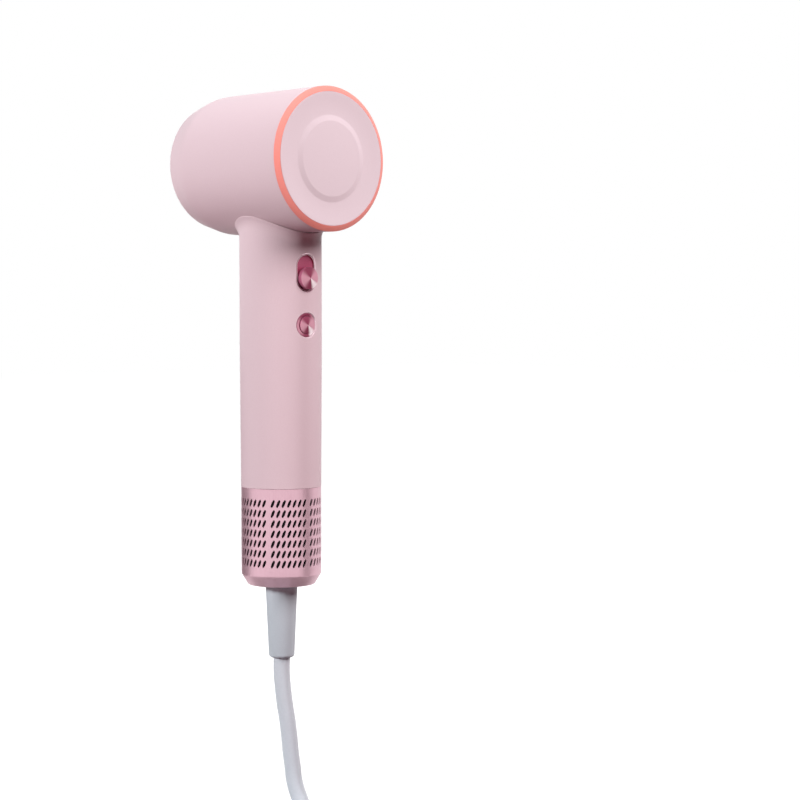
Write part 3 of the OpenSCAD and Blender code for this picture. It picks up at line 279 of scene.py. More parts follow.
for i in range(spokes):
    spoke = (
        head_axis @ Matrix.Rotation(-(pi / 2 + i * 2 * pi / spokes), 4, "Y")
        @ Matrix.Translation((spoke_mid * mm, spoke_y * mm, 0)) @ Matrix.Rotation(radians(spoke_lean), 4, "Y")
        @ Matrix.Diagonal((spoke_len * mm, spoke_t * mm, spoke_w * mm, 1))
    )
    bar = bmesh.ops.create_cube(shape, size=1, matrix=spoke)["verts"]
    edges = list({e for v in bar for e in v.link_edges})
    bmesh.ops.bevel(
        shape, geom=edges, offset=spoke_soft * mm, affect="EDGES", segments=2, profile=0.5, material=-1,
    )
piece("outlet_rings", shape, silver_paint, "dryer", "outlet_grille")

# Recess liner: the black tray around the outlet rings that a clip-on nozzle plugs into.
# Moulded in black ABS with a satin skin, which gives its wall a soft grey sheen.
# It is pressed against the back of the nose, with the magnet ring behind its floor.
outlet_r, liner_r, liner_in, nose_back, liner_floor, liner_back = 27.38, 28.58, 25.1, -47.3, -43.1, -41.6
black_abs, tree, surface = material("black_satin_abs", {"IOR": 1.54})
grain(tree, surface, 0.0008, ("#1C1C1F", "#252529"), (0.34, 0.42), 0.05)
shape = bmesh.new()
turned(
    shape,
    rounded([
        (outlet_r, nose_back, 0), (liner_r, nose_back, 0.2), (liner_r, liner_back, 0.2),
        (liner_in, liner_back, 0.1), (liner_in, liner_floor, 0.1), (outlet_r, liner_floor, 0.9),
    ]),
    head_axis, rearwards,
)
piece("recess_liner", shape, black_abs, "dryer", "outlet_seat")

# Barrel: the round head shell with its sloped nose, open at the rear and over the handle.
# ABS with a satin pearl paint in pale pink: even in colour, with broad, weak highlights and a fine flake.
# The flake is drawn at 0.5 mm, coarser than the real one, so that it shows at all.
pearl_paint, tree, surface = material("pink_pearl_paint", {"IOR": 1.5, "Specular IOR Level": 0.25})
grain(tree, surface, 0.0005, ("#D2BAC1", "#D9C4CB"), (0.42, 0.5), 0.04)


def carve(shape, tool):
    """A shape less a tool, both closed, as a new shape."""
    pair = []
    for part in (shape, tool):
        bmesh.ops.remove_doubles(part, verts=part.verts, dist=weld)
        bmesh.ops.recalc_face_normals(part, faces=part.faces)
        mesh = bpy.data.meshes.new("blank")
        part.to_mesh(mesh)
        part.free()
        pair.append(bpy.data.objects.new("blank", mesh))
        bpy.context.scene.collection.objects.link(pair[-1])
    cut = pair[0].modifiers.new("cut", "BOOLEAN")
    cut.object = pair[1]
    cut.solver = "EXACT"
    carved = bmesh.new()
    carved.from_object(pair[0], bpy.context.evaluated_depsgraph_get())
    for blank in pair:
        mesh = blank.data
        bpy.data.objects.remove(blank)
        bpy.data.meshes.remove(mesh)
    return carved


barrel_r, barrel_in, barrel_end, neck_r, neck_depth, neck_z = 35, 33.2, 36.8, 18.2, 30, 65
nose_r, nose_y, slope_end, slope_blend = 31.33, -49.1, -35.4, 26
nose_in, slope_end_in = 29.95, -35.1
barrel_rows = [(barrel_r, -30 + 4.2 * i, 0) for i in range(16)]
shape = bmesh.new()
turned(
    shape,
    rounded(
        [(outlet_r, nose_y, 0.4), (nose_r, nose_y, 1.2), (barrel_r, slope_end, slope_blend)] + barrel_rows
        + [
            (barrel_r, barrel_end, 0.2), (barrel_in, barrel_end, 0.1), (barrel_in, slope_end_in, 0),
            (nose_in, nose_back, 0), (outlet_r, nose_back, 0.2),
        ],
        steps=7,
    ),
    head_axis, rearwards, 160,
)
neck_hole = bmesh.new()
bmesh.ops.create_cone(
    neck_hole, cap_ends=True, segments=96, radius1=neck_r * mm, radius2=neck_r * mm, depth=neck_depth * mm,
    matrix=Matrix.Translation((0, 0, neck_z * mm)),
)
piece("barrel", carve(shape, neck_hole), pearl_paint, "dryer", "head_shell", 30)

# Accent ring: the narrow bevelled ring at the rear edge of the barrel.
# Moulded in coral ABS, dyed through, with an even satin surface.
# Its spigot is pressed into the barrel, and the rear cover is snapped into it.
ring_in, spigot_r, spigot_y, ring_edge_y, ring_face_y = 32.3, 33.1, 33.1, 37.1, 38.6
coral_abs, tree, surface = material("coral_abs", {"IOR": 1.54})
grain(tree, surface, 0.0008, ("#EC8A80", "#F0948A"), (0.42, 0.5), 0.04)
shape = bmesh.new()
turned(
    shape,
    rounded([
        (ring_in, spigot_y, 0.1), (spigot_r, spigot_y, 0.1), (spigot_r, barrel_end, 0),
        (barrel_r, barrel_end, 0.08), (barrel_r, ring_edge_y, 0.15), (ring_in, ring_face_y, 0.08),
    ]),
    head_axis, rearwards, 160,
)
piece("accent_band", shape, coral_abs, "dryer", "accent_ring", 50)

# Rear cover: a shallow dish with a raised disc in the middle.
# Moulded ABS with the barrel's pearl paint, one coat thicker and so a little smoother.
# A skirt behind its edge snaps into the accent ring.
cover_r, cover_edge_y, dish_r, dish_y, disc_r, disc_y, crown_h = 32.25, 38.6, 21, 37.85, 18.2, 38.5, 0.3
skirt_in, skirt_y, cover_back, dish_rings, crown_rings = 30.65, 32.6, 35.9, 8, 4
dish, crown = [], []
for i in range(1, dish_rings):
    share = i / dish_rings
    dish_depth = (cover_edge_y - dish_y) * sin(pi / 2 * share)
    dish.append((cover_r - (cover_r - dish_r) * share, cover_edge_y - dish_depth, 0))
for i in range(1, crown_rings + 1):
    share = 1 - i / crown_rings
    crown.append((disc_r * share, disc_y + crown_h * (1 - share ** 2), 0))
cover_paint, tree, surface = material("pink_pearl_paint_smooth", {"IOR": 1.5, "Specular IOR Level": 0.3})
grain(tree, surface, 0.0005, ("#D6C5CC", "#DACBD1"), (0.38, 0.46), 0.03)
shape = bmesh.new()
turned(
    shape,
    rounded(
        [(skirt_in, skirt_y, 0), (cover_r, skirt_y, 0.2), (cover_r, cover_edge_y, 0.12)] + dish
        + [(dish_r, dish_y, 3), (disc_r, disc_y, 2.5)] + crown
        + [(0, cover_back, 0), (skirt_in, cover_back, 0.3)],
        steps=6,
    ),
    head_axis, rearwards, 160,
)
piece("rear_dish", shape, cover_paint, "dryer", "rear_cover", 40)

# Handle: a slim tube that swells slightly upwards and flares into a saddle under the barrel.
# ABS in the barrel's pearl paint; its upper rim follows the barrel with a thin seam.
# It is slipped over the neck tube; the chamfers of its two openings carry a light line, partly painted
# highlight.
grip_r, handle_in, handle_low, swell, swell_low, swell_high = 20, 18.2, -62.15, 0.4, -58, 5
flare_w, flare_h, saddle_r, fixed_z, blank_top = 2.4, 6.5, 35.3, 50, 72
flare_r = (flare_h ** 2 + flare_w ** 2) / (2 * flare_w)
upwards = Vector((0, 0, 1))


def handle_radius(z, rim_z):
    """Outer radius of the handle at a height, where its rim has this height, in mm."""
    radius = grip_r + swell * min(max((z - swell_low) / (swell_high - swell_low), 0), 1)
    into_flare = min(max(z - rim_z + flare_h, 0), flare_h)
    return radius + flare_r - sqrt(flare_r ** 2 - into_flare ** 2)


wall_rows = [(grip_r, -62.05 + 3.735 * i, 0) for i in range(31)]
flare_rows = [(grip_r, 51 + 0.7 * i, 0) for i in range(29)]
inner_rows = [(handle_in, 70 - 4.4 * i, 0) for i in range(30)]
shape = bmesh.new()
turned(
    shape,
    rounded(
        [(handle_in, handle_low, 0), (grip_r - 0.06, handle_low, 0)] + wall_rows + flare_rows
        + [(grip_r, blank_top, 0.5), (handle_in, blank_top, 0)] + inner_rows
    ),
    Matrix.Identity(4), upwards, 160,
)
bmesh.ops.remove_doubles(shape, verts=shape.verts, dist=weld)
for vert in shape.verts:
    x, y, z = (part * 1000 for part in vert.co)
    angle, radius = atan2(y, x), hypot(x, y)
    outer = radius > handle_in + 0.5
    across = (grip_r + swell + flare_w if outer else handle_in) * cos(angle)
    rim_z = head_z - sqrt(saddle_r ** 2 - across ** 2)
    if z > fixed_z:
        z = fixed_z + (z - fixed_z) * (rim_z - fixed_z) / (blank_top - fixed_z)
    if outer:
        radius += handle_radius(z, rim_z) - grip_r
    vert.co = Vector((radius * cos(angle), radius * sin(angle), z)) * mm


def stack(shape, loops, loop):
    """Adds a closed loop of vertices to a pile of loops and bridges it to the one before."""
    edges = list({e for v in loop for e in v.link_edges if all(w in loop for w in e.verts)})
    if loops:
        bmesh.ops.bridge_loops(shape, edges=loops[-1] + edges)
    loops.append(edges)


def pocket(levels, z, length=0):
    """Open pile of round-ended loops facing the rear: each level is a radius, a depth, and whether the depth
    counts from the handle's surface. The upper half of each loop is moved up by a length. All in mm."""
    plug = bmesh.new()
    loops = []
    for radius, depth, flush in levels:
        loop = bmesh.ops.create_circle(plug, segments=64, radius=radius * mm)["verts"]
        for vert in loop:
            x, up = vert.co.x * 1000, vert.co.y * 1000
            y = depth + (sqrt((grip_r + swell) ** 2 - x * x) if flush else 0)
            vert.co = Vector((x, y, z + up + (length if up > -1e-6 else 0))) * mm
        stack(plug, loops, loop)
    return plug, loops


slider_z, slot_len, slot_r, button_z, button_hole_r = 40.6, 6.5, 5.75, 18.2, 5.85
chamfer_low, chamfer_w, chamfer_out, hole_inside, hole_outside = 0.06, 0.5, 0.62, 12, 24
for height, length, hole in ((slider_z, slot_len, slot_r), (button_z, 0, button_hole_r)):
    tool, loops = pocket(
        [
            (hole, hole_inside, False), (hole, -0.55, True), (hole + chamfer_low, -0.46, True),
            (hole + chamfer_w, -0.06, True), (hole + chamfer_out, 0.02, True),
            (hole + chamfer_out, hole_outside, False),
        ],
        height, length,
    )
    bmesh.ops.holes_fill(tool, edges=loops[0] + loops[-1])
    shape = carve(shape, tool)
# Chamfer lacquer: its pale colour is a painted highlight; its metallic sheen really mirrors the white
# surroundings.
chamfer_painted_highlight, tree, surface = material("chamfer_lacquer_painted_highlight", {"Metallic": 0.6})
grain(tree, surface, 0.0006, ("#E2C3CC", "#EACFD7"), (0.2, 0.26), 0.02)
shape.normal_update()
for face in shape.faces:
    x, y, z = face.calc_center_median() * 1000
    slant = face.normal.dot(Vector((x, y, 0)).normalized())
    by_an_opening = y > 0 and abs(x) < 6.5 and button_z - 8 < z < slider_z + slot_len + 8
    face.material_index = int(by_an_opening and 0.3 < slant < 0.95)
handle = piece("handle", shape, pearl_paint, "dryer", "handle_shell", 30)
handle.data.materials.append(chamfer_painted_highlight)

# Slider tray: the round-ended recess that the knob runs in.
# Moulded with a thin rim in the handle's paint and lacquered inside in a deep raspberry metallic.
# It is clipped into the slot from inside, with its rim at the foot of the chamfer.
tray_r, tray_in, tray_back, tray_floor = 5.7, 5.35, 16.5, 18.2
rim_y, rim_edge_y, rim_depth = -0.55, -0.62, 0.75
raspberry, tree, surface = material(
    "raspberry_metallic_lacquer", {"Metallic": 0.3, "Coat Weight": 0.2, "Coat Roughness": 0.25},
)
grain(tree, surface, 0.0006, ("#B0466A", "#BC5476"), (0.35, 0.45), 0.05)
shape, loops = pocket(
    [
        (tray_r, tray_back, False), (tray_r, rim_edge_y, True), (5.64, rim_y, True), (5.43, rim_y, True),
        (tray_in, rim_edge_y, True), (tray_in, 18.6, False), (5.2, 18.3, False), (4.9, tray_floor, False),
    ],
    slider_z, slot_len,
)
bmesh.ops.holes_fill(shape, edges=loops[0] + loops[-1])
for face in shape.faces:
    x, y, z = face.calc_center_median() * 1000
    face.material_index = int(hypot(x, y) > grip_r + swell - rim_depth)
tray = piece("slider_tray", shape, raspberry, "dryer", "slider_plate")
tray.data.materials.append(pearl_paint)

# Slider knob and button cap: short round caps with spun, slightly pointed metal faces.
# Turned aluminium, anodised pink, with round grooves drawn 0.4 mm apart to show as bumps.
# The knob is pressed on the carriage's stem; the cap is held behind the bezel by its lip.
# The faces' light and dark sectors and their white glint are painted light, fixed in the colour round each
# middle.
painted_light_sector_colour, painted_dark_sector_colour, painted_glint_colour, spun_side = "#CF94A5", "#8A3652", "#F6E6EA", "#B06480"
groove_pitch, groove_depth, painted_sector_turn, painted_glint_turn = 0.0004, 0.00005, 20, 130


def spun_metal_painted_light(name, z):
    """Anodised metal with bumped grooves round a middle at a height in mm, facing the rear, and painted light
    sectors and glint.
    """
    made, tree, surface = material(name, {"Metallic": 0.4, "Roughness": 0.38})
    place = add(tree, "TexCoord", {})
    centred = add(tree, "Mapping", {"Vector": place.outputs["Object"], "Location": (0, 0, -z * mm)})
    parts = add(tree, "SeparateXYZ", {0: centred.outputs[0]})
    angle = add(tree, "Math", {0: parts.outputs["Z"], 1: parts.outputs["X"]}, operation="ARCTAN2")
    # Painted light and shade: two light and two dark sectors by the angle round the middle.
    doubled = add(
        tree, "Math", {0: angle.outputs[0], 1: 2, 2: radians(painted_sector_turn)}, operation="MULTIPLY_ADD",
    )
    painted_sector = add(tree, "Math", {0: doubled.outputs[0]}, operation="COSINE")
    share = add(
        tree, "MapRange", {"Value": painted_sector.outputs[0], "From Min": -0.8, "From Max": 0.85},
        interpolation_type="SMOOTHSTEP",
    )
    tint = add(
        tree, "Mix", {0: share.outputs[0], 6: linear(painted_dark_sector_colour), 7: linear(painted_light_sector_colour)}, data_type="RGBA",
    )
    # Painted highlight: a white glint over a narrow angle on one side of the face.
    painted_glint_angle = add(tree, "Math", {0: angle.outputs[0], 1: radians(painted_glint_turn)}, operation="ADD")
    painted_glint_facing = add(tree, "Math", {0: painted_glint_angle.outputs[0]}, operation="COSINE")
    painted_glint = add(
        tree, "MapRange", {"Value": painted_glint_facing.outputs[0], "From Min": 0.85, "From Max": 1},
        interpolation_type="SMOOTHSTEP",
    )
    with_painted_glint = add(tree, "Mix", {0: painted_glint.outputs[0], 6: tint.outputs[2], 7: linear(painted_glint_colour)}, data_type="RGBA")
    normal = add(tree, "NewGeometry", {})
    faces = add(tree, "SeparateXYZ", {0: normal.outputs["True Normal"]})
    on_face = add(tree, "MapRange", {"Value": faces.outputs["Y"], "From Min": 0.6, "From Max": 0.9})
    whole = add(
        tree, "Mix", {0: on_face.outputs[0], 6: linear(spun_side), 7: with_painted_glint.outputs[2]}, data_type="RGBA",
    )
    across = add(tree, "CombineXYZ", {0: parts.outputs["X"], 1: parts.outputs["Z"]})
    radius = add(tree, "VectorMath", {0: across.outputs[0]}, operation="LENGTH")
    grooves = add(tree, "Math", {0: radius.outputs["Value"], 1: 2 * pi / groove_pitch}, operation="MULTIPLY")
    ridges = add(tree, "Math", {0: grooves.outputs[0]}, operation="SINE")
    bump = add(tree, "Bump", {"Height": ridges.outputs[0], "Strength": 0.1, "Distance": groove_depth})
    tree.links.new(whole.outputs[2], surface.inputs["Base Color"])
    tree.links.new(bump.outputs[0], surface.inputs["Normal"])
    return made


knob_z, knob_r, knob_foot_r = slider_z + 0.6, 5.45, 5.1
knob_back, knob_under, knob_edge, knob_tip = 18.4, 20.5, 22.1, 22.95
shape = bmesh.new()
turned(
    shape,
    rounded([
        (0, knob_back, 0), (knob_foot_r, knob_back, 0.1), (knob_foot_r, knob_under, 0),
        (knob_r, knob_under, 0.15), (knob_r, knob_edge, 0.2), (0, knob_tip, 0),
    ]),
    Matrix.Translation((0, 0, knob_z * mm)), rearwards, 96,
)
piece(
    "slider_knob", shape, spun_metal_painted_light("spun_aluminium_knob", knob_z), "speed_slider", "speed_slider",
    50,
)

cap_r, cap_back, cap_edge, cap_tip = 4.33, 15.4, 20.05, 21.05
stud_r, lip_r, lip_back, lip_front = 1.6, 4.9, 15.9, 16.7
shape = bmesh.new()
turned(
    shape,
    rounded([
        (0, cap_back, 0), (stud_r, cap_back, 0.1), (stud_r, lip_back, 0), (lip_r, lip_back, 0.1),
        (lip_r, lip_front, 0.1), (cap_r, lip_front, 0), (cap_r, cap_edge, 0.15), (0, cap_tip, 0),
    ]),
    Matrix.Translation((0, 0, button_z * mm)), rearwards, 96,
)
piece(
    "button_cap", shape, spun_metal_painted_light("spun_aluminium_cap", button_z), "mode_button", "mode_button",
    50,
)

# Button bezel: a flat ring around the cap.
# Turned from the cap's anodised aluminium, with the same painted light sectors and glint, lined up with the
# cap's.
# It is pressed into the hole of the handle, just below its surface.
bezel_r, bezel_in, bezel_back = 5.8, 4.4, 16.9
shape, loops = pocket(
    [
        (bezel_r, bezel_back, False), (bezel_r, -0.5, True), (5.74, -0.43, True), (5.5, -0.41, True),
        (4.56, -0.5, True), (4.45, -0.56, True), (bezel_in, bezel_back, False),
    ],
    button_z,
)
bmesh.ops.bridge_loops(shape, edges=loops[0] + loops[-1])
piece(
    "button_ring", shape, spun_metal_painted_light("spun_aluminium_bezel", button_z), "dryer", "button_bezel",
    50,
)

# Filter: a sleeve of fine woven steel mesh around the cage, behind the slots of the inlet cover.
# Blackened steel wire; the weave is drawn at 0.6 mm, coarser than the real one, so that it shows.
# It is wrapped round the cage and held between the cage's base and the handle.
wire_pitch = 0.0006
mesh_steel, tree, surface = material("blackened_steel_mesh", {"Metallic": 0.6, "Roughness": 0.6})
place = add(tree, "TexCoord", {})
weave = add(tree, "TexChecker", {
    "Vector": place.outputs["Object"], "Color1": linear("#0C0B0C"), "Color2": linear("#1B191B"),
    "Scale": 1 / wire_pitch,
})
bump = add(tree, "Bump", {"Height": weave.outputs[1], "Strength": 0.5, "Distance": 0.0001})
tree.links.new(weave.outputs[0], surface.inputs["Base Color"])
tree.links.new(bump.outputs[0], surface.inputs["Normal"])
dress(["filter_mesh"], mesh_steel)

# Inlet cover: a perforated sleeve with six panels of leaning slots and a chamfered lower end.
# Drawn aluminium sheet, anodised in the same pink, with a satin metallic sheen and a faint vertical grain.
# It slides up over the cage and the filter, and pulls off down the cord for cleaning.
sheet_r, sheet_top, sheet_low, chamfer_z, floor_r, cord_hole_r = 19.9, -62.19, -111, -105.6, 16.7, 8.6
panels, columns, rows, row_pitch, first_row = 6, 7, 7, 4.97, -69.3
first_panel, cell_w = sheet_r * radians(121.3), sheet_r * radians(7.85)
panel_w = sheet_r * radians(360 / panels)
slot_half = [(-0.36, -1.92), (0.48, -0.72), (1.08, 1), (1.04, 1.52), (0.68, 1.95)]
slot_outline = slot_half + [(-x, -z) for x, z in slot_half]
w, h = cell_w / 2, row_pitch / 2
cell_half = [(w, -h), (w, -h / 3), (w, h / 3), (w, h), (0, h)]
cell_outline = cell_half + [(-x, -z) for x, z in cell_half]


def only(kind, geom):
    """The elements of one kind out of what a bmesh operator gives."""
    return [g for g in geom if isinstance(g, kind)]


def at_height(edge, z):
    """Whether both ends of an edge lie at a height in mm."""
    return all(abs(v.co.z * 1000 - z) < 0.01 for v in edge.verts)


shape = bmesh.new()
edges = []
for outline in (cell_outline, slot_outline):
    edges += closed_line(shape, [(x, z, 0) for x, z in outline])[1]
bmesh.ops.bridge_loops(shape, edges=edges)
cell = list(shape.verts) + list(shape.edges) + list(shape.faces)
for panel in range(panels):
    middle = first_panel + panel * panel_w
    for column in range(columns):
        for row in range(rows):
            copy = bmesh.ops.duplicate(shape, geom=cell)["geom"]
            bmesh.ops.translate(
                shape, verts=only(bmesh.types.BMVert, copy),
                vec=(middle + (column - columns // 2) * cell_w, first_row - row * row_pitch, 0),
            )
    gap_w = panel_w - columns * cell_w
    bmesh.ops.create_grid(
        shape, x_segments=2, y_segments=3 * rows, size=0.5,
        matrix=Matrix.Translation((middle + panel_w / 2, first_row - rows // 2 * row_pitch, 0))
        @ Matrix.Diagonal((gap_w, rows * row_pitch, 1, 1)),
    )
bmesh.ops.delete(shape, geom=only(bmesh.types.BMVert, cell), context="VERTS")
for vert in shape.verts:
    turn, z = vert.co.x / sheet_r, vert.co.y
    vert.co = Vector((sheet_r * cos(turn), sheet_r * sin(turn), z)) * mm
bmesh.ops.remove_doubles(shape, verts=shape.verts, dist=2e-5)
perforated_top, perforated_low = first_row + row_pitch / 2, first_row - (rows - 0.5) * row_pitch
for start, levels in (
    (perforated_top, [(sheet_r, sheet_top - 0.06), (sheet_r - 0.06, sheet_top)]),
    (perforated_low, [(sheet_r, chamfer_z), (floor_r, sheet_low), (cord_hole_r, sheet_low)]),
):
    rim = [e for e in shape.edges if e.is_boundary and at_height(e, start)]
    for radius, z in levels:
        grown = bmesh.ops.extrude_edge_only(shape, edges=rim)["geom"]
        rim = only(bmesh.types.BMEdge, grown)
        for vert in only(bmesh.types.BMVert, grown):
            turn = atan2(vert.co.y, vert.co.x)
            vert.co = Vector((radius * cos(turn), radius * sin(turn), z)) * mm
corner_edges = [
    e for e in shape.edges
    if at_height(e, chamfer_z)
    or at_height(e, sheet_low) and all(hypot(v.co.x, v.co.y) > (floor_r - 0.1) * mm for v in e.verts)
]
corner_soft, sheet_t = 0.4, 0.5
bmesh.ops.bevel(
    shape, geom=corner_edges, offset=corner_soft * mm, affect="EDGES", segments=2, profile=0.5, material=-1,
)
bmesh.ops.recalc_face_normals(shape, faces=shape.faces)
bmesh.ops.solidify(shape, geom=list(shape.faces), thickness=sheet_t * mm)
pink_anodised, tree, surface = material("pink_anodised_aluminium", {"Metallic": 0.6})
grain(tree, surface, 0.0008, ("#D9AFBC", "#E0BAC6"), (0.34, 0.42), 0.04, (1, 1, 0.1))
piece("inlet_sleeve", shape, pink_anodised, "inlet_cover", "inlet_cover", 30)

# Strain relief: the tapered sleeve that guards the cord where it leaves the handle.
# Soft PVC in cool grey, moulded over the cord, with a matt skin.
# Its flange is clamped to the cage's base inside the inlet cover.
flange_r, flange_top, flange_low, groove_r, groove_low = 9.4, -102.2, -104.2, 6.9, -106.2
relief_r, tip_r, tip_z, bore_r, bore_end = 8, 6.32, -148.2, 4.35, -147.4
relief_pvc, tree, surface = material("grey_soft_pvc", {"IOR": 1.53})
grain(tree, surface, 0.0007, ("#B7C0C8", "#C1CAD1"), (0.48, 0.58), 0.06)
shape = bmesh.new()
turned(
    shape,
    rounded([
        (0, flange_top, 0), (flange_r, flange_top, 0.3), (flange_r, flange_low, 0.2),
        (groove_r, flange_low, 0), (groove_r, groove_low, 0), (relief_r, groove_low, 0.2),
        (relief_r, sheet_low, 0), (7.2, -128.7, 0), (tip_r, tip_z, 1.7), (bore_r, tip_z, 0.15),
        (bore_r, bore_end, 0), (0, bore_end, 0),
    ], steps=6),
    Matrix.Identity(4), upwards, 96,
)
piece("strain_relief", shape, relief_pvc, "dryer", "cord_relief", 30)

# Plug: a flat two-pole plug with round shoulders, a ribbed tail and two pins.
# Grey PVC moulded over the pins, matt with softly rounded edges; the pins are nickel-plated brass.
# It is moulded on the cord's free end and lies beside the coil.
plug_end, plug_y, plug_z, plug_len = 8, -33.5, -249.8, 40
stations = [
    (0, 4.6, 4.6, 2), (1.5, 5, 5, 2), (2.2, 4.6, 4.6, 2), (3.4, 4.8, 4.8, 2), (4, 5.5, 5.5, 2),
    (5.4, 5.6, 5.6, 2), (6, 5, 5, 2), (7.2, 5.2, 5.2, 2), (7.8, 5.9, 5.9, 2), (9.4, 6, 6, 2),
    (10, 5.5, 5.5, 2), (11.4, 6.3, 6, 2.2), (12.2, 8.3, 6.2, 2.8), (13.6, 11.2, 6.6, 3.2), (16, 13.8, 6.9, 4),
    (20, 16.4, 7, 5), (26, 18, 7, 5.5), (36.5, 18, 7, 5.5), (38.6, 17.6, 6.7, 5.5), (39.7, 16.8, 5.9, 5.5),
    (plug_len, 15.8, 5.2, 5.5),
]
plug_pvc, tree, surface = material("grey_plug_pvc", {"IOR": 1.53})
grain(tree, surface, 0.0008, ("#B0B7BF", "#BBC2C9"), (0.45, 0.55), 0.07)
shape = bmesh.new()
loops = []
for along, half_w, half_t, square in stations:
    loop = bmesh.ops.create_circle(shape, segments=64, radius=1)["verts"]
    for vert in loop:
        c, s = vert.co.x, vert.co.y
        wide = half_w * abs(c) ** (2 / square) * (1 if c > 0 else -1)
        thick = half_t * abs(s) ** (2 / square) * (1 if s > 0 else -1)
        vert.co = Vector((plug_end - along, plug_y + wide, plug_z + thick)) * mm
    stack(shape, loops, loop)
bmesh.ops.holes_fill(shape, edges=loops[0] + loops[-1])
plug = piece("plug", shape, plug_pvc, "dryer", "plug_body", 45)

pin_r, pin_len, pin_tip, pin_side = 2.4, 19, 1.2, 9.5
plated, tree, surface = material("nickel_plated_brass", {"Metallic": 1})
grain(tree, surface, 0.001, ("#BDBFC2", "#CBCDD0"), (0.16, 0.24), 0.03)
shape = bmesh.new()
for side in (-1, 1):
    turned(
        shape,
        rounded([(0, 0, 0), (pin_r, 0, 0), (pin_r, pin_len, pin_tip), (0, pin_len, 0)]),
        Matrix.Translation(Vector((plug_end - plug_len, plug_y + side * pin_side, plug_z)) * mm),
        Vector((-1, 0, 0)), 48,
    )
pins = piece("pins", shape, plated, "dryer", "plug_pins")

# Tie: a narrow strap around the wound cord.
# Woven nylon webbing in mid grey, 10 mm wide, with fine ribs along it, drawn 1 mm apart.
# It is looped round all the turns on one side of the coil.
coil_x, coil_y, top_z, low_z, strap_from, strap_to = 52, 23, -243.7, -251.9, 38.4, 55.4
strap_w, strap_t, strap_gap, rib_pitch = 10, 0.7, 4.2, 0.001
webbing, tree, surface = material(
    "woven_nylon_webbing", {"IOR": 1.53, "Roughness": 0.75, "Sheen Weight": 0.3},
)
place = add(tree, "TexCoord", {})
threads = add(tree, "TexWave", {
    "Vector": place.outputs["Object"], "Scale": wave_repeat / rib_pitch, "Distortion": 0.5, "Detail": 1,
}, bands_direction="Y")
tint = add(tree, "Mix", {0: threads.outputs[1], 6: linear("#777A80"), 7: linear("#94979D")}, data_type="RGBA")
bump = add(tree, "Bump", {"Height": threads.outputs[1], "Strength": 0.5, "Distance": 0.0002})
tree.links.new(tint.outputs[2], surface.inputs["Base Color"])
tree.links.new(bump.outputs[0], surface.inputs["Normal"])
strap_in, strap_out = strap_from - strap_gap, strap_to + strap_gap
around = rounded([
    (strap_in, low_z - strap_gap, strap_gap), (strap_out, low_z - strap_gap, strap_gap),
    (strap_out, top_z + strap_gap, strap_gap), (strap_in, top_z + strap_gap, strap_gap),
], steps=8)
shape = bmesh.new()
edges = closed_line(shape, [Vector((coil_x + p.x, coil_y - strap_w / 2, p.y)) * mm for p in around])[1]
grown = bmesh.ops.extrude_edge_only(shape, edges=edges)["geom"]
bmesh.ops.translate(shape, verts=only(bmesh.types.BMVert, grown), vec=(0, strap_w * mm, 0))
bmesh.ops.recalc_face_normals(shape, faces=shape.faces)
bmesh.ops.solidify(shape, geom=list(shape.faces), thickness=-strap_t * mm)
strap = piece("cord_strap", shape, webbing, "dryer", "coil_tie")

# Power cord: a round two-core mains lead, straight out of the strain relief and then down.
# PVC jacket in the same cool grey, smooth and satin; 8.2 mm thick and 1.8 m long.
# Below the view it bends over into a flat coil of two layers and ends in the plug.
cord_d, cord_length, cord_exit = 0.0082, 1.8, (0, 0, -0.1482)
route = [
    (0, 0, tip_z), (0, 0, -156), (-0.4, 0.4, -164), (-1.1, 1, -172), (-2, 1.8, -180), (-2.8, 2.3, -188),
    (-3.4, 2.7, -196), (-4.2, 3.2, -203.5), (-4.8, 4, -211.5), (-6, 6, -219), (-7, 9.5, -226),
    (-8, 14.5, -232.5), (-8, 21, -237.5), (-7.5, 28, -241), (-6, 35.5, -243), (-4, 42, top_z),
]
coil_start_r, coil_start, coil_pitch, inner_r, low_start_r = 59.135, 161.26, 8.4, 33, 35.5
top_turns, change_turns, all_turns, points_per_turn = 2.4, 0.7, 5.698, 24
inward_share, drop_from = 0.6, 0.3


def eased(share):
    """Share from 0 to 1 that starts and ends gently."""
    share = min(max(share, 0), 1)
    return share * share * (3 - 2 * share)


for i in range(1, int(all_turns * points_per_turn) + 1):
    turns = i / points_per_turn
    change = (turns - top_turns) / change_turns
    if change < 0:
        radius, z = coil_start_r - coil_pitch * turns, top_z
    elif change < 1:
        last_r = coil_start_r - coil_pitch * top_turns
        inwards = eased(change / inward_share)
        outwards = eased((change - inward_share) / (1 - inward_share))
        radius = last_r + (inner_r - last_r) * inwards + (low_start_r - inner_r) * outwards
        z = top_z + (low_z - top_z) * eased((change - drop_from) / (1 - drop_from))
    else:
        radius, z = low_start_r + coil_pitch * (turns - top_turns - change_turns), low_z
    angle = radians(coil_start - 360 * turns)
    route.append((coil_x + radius * cos(angle), coil_y + radius * sin(angle), z))
route += [
    (38, -34.1, -251.5), (24, plug_y, -250.8), (20, plug_y, -250.4), (14, plug_y, plug_z),
    (plug_end, plug_y, plug_z),
]

jacket, tree, surface = material("grey_cord_pvc", {"IOR": 1.53})
grain(tree, surface, 0.0012, ("#C6CDD5", "#D0D7DE"), (0.4, 0.5), 0.05)
lead = bpy.data.curves.new("power_lead", "CURVE")
lead.dimensions = "3D"
lead.bevel_depth = cord_d / 2
lead.bevel_resolution = 6
lead.resolution_u = 6
lead.use_fill_caps = True
spline = lead.splines.new("BEZIER")
spline.bezier_points.add(len(route) - 1)
for point, place_mm in zip(spline.bezier_points, route):
    point.co = Vector(place_mm) * mm
    point.handle_left_type = point.handle_right_type = "AUTO"
lead.materials.append(jacket)
cord = bpy.data.objects.new("power_lead", lead)
bpy.context.scene.collection.objects.link(cord)
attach(cord, "dryer")
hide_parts("power_cord", "cord_coil", "cord_tail")

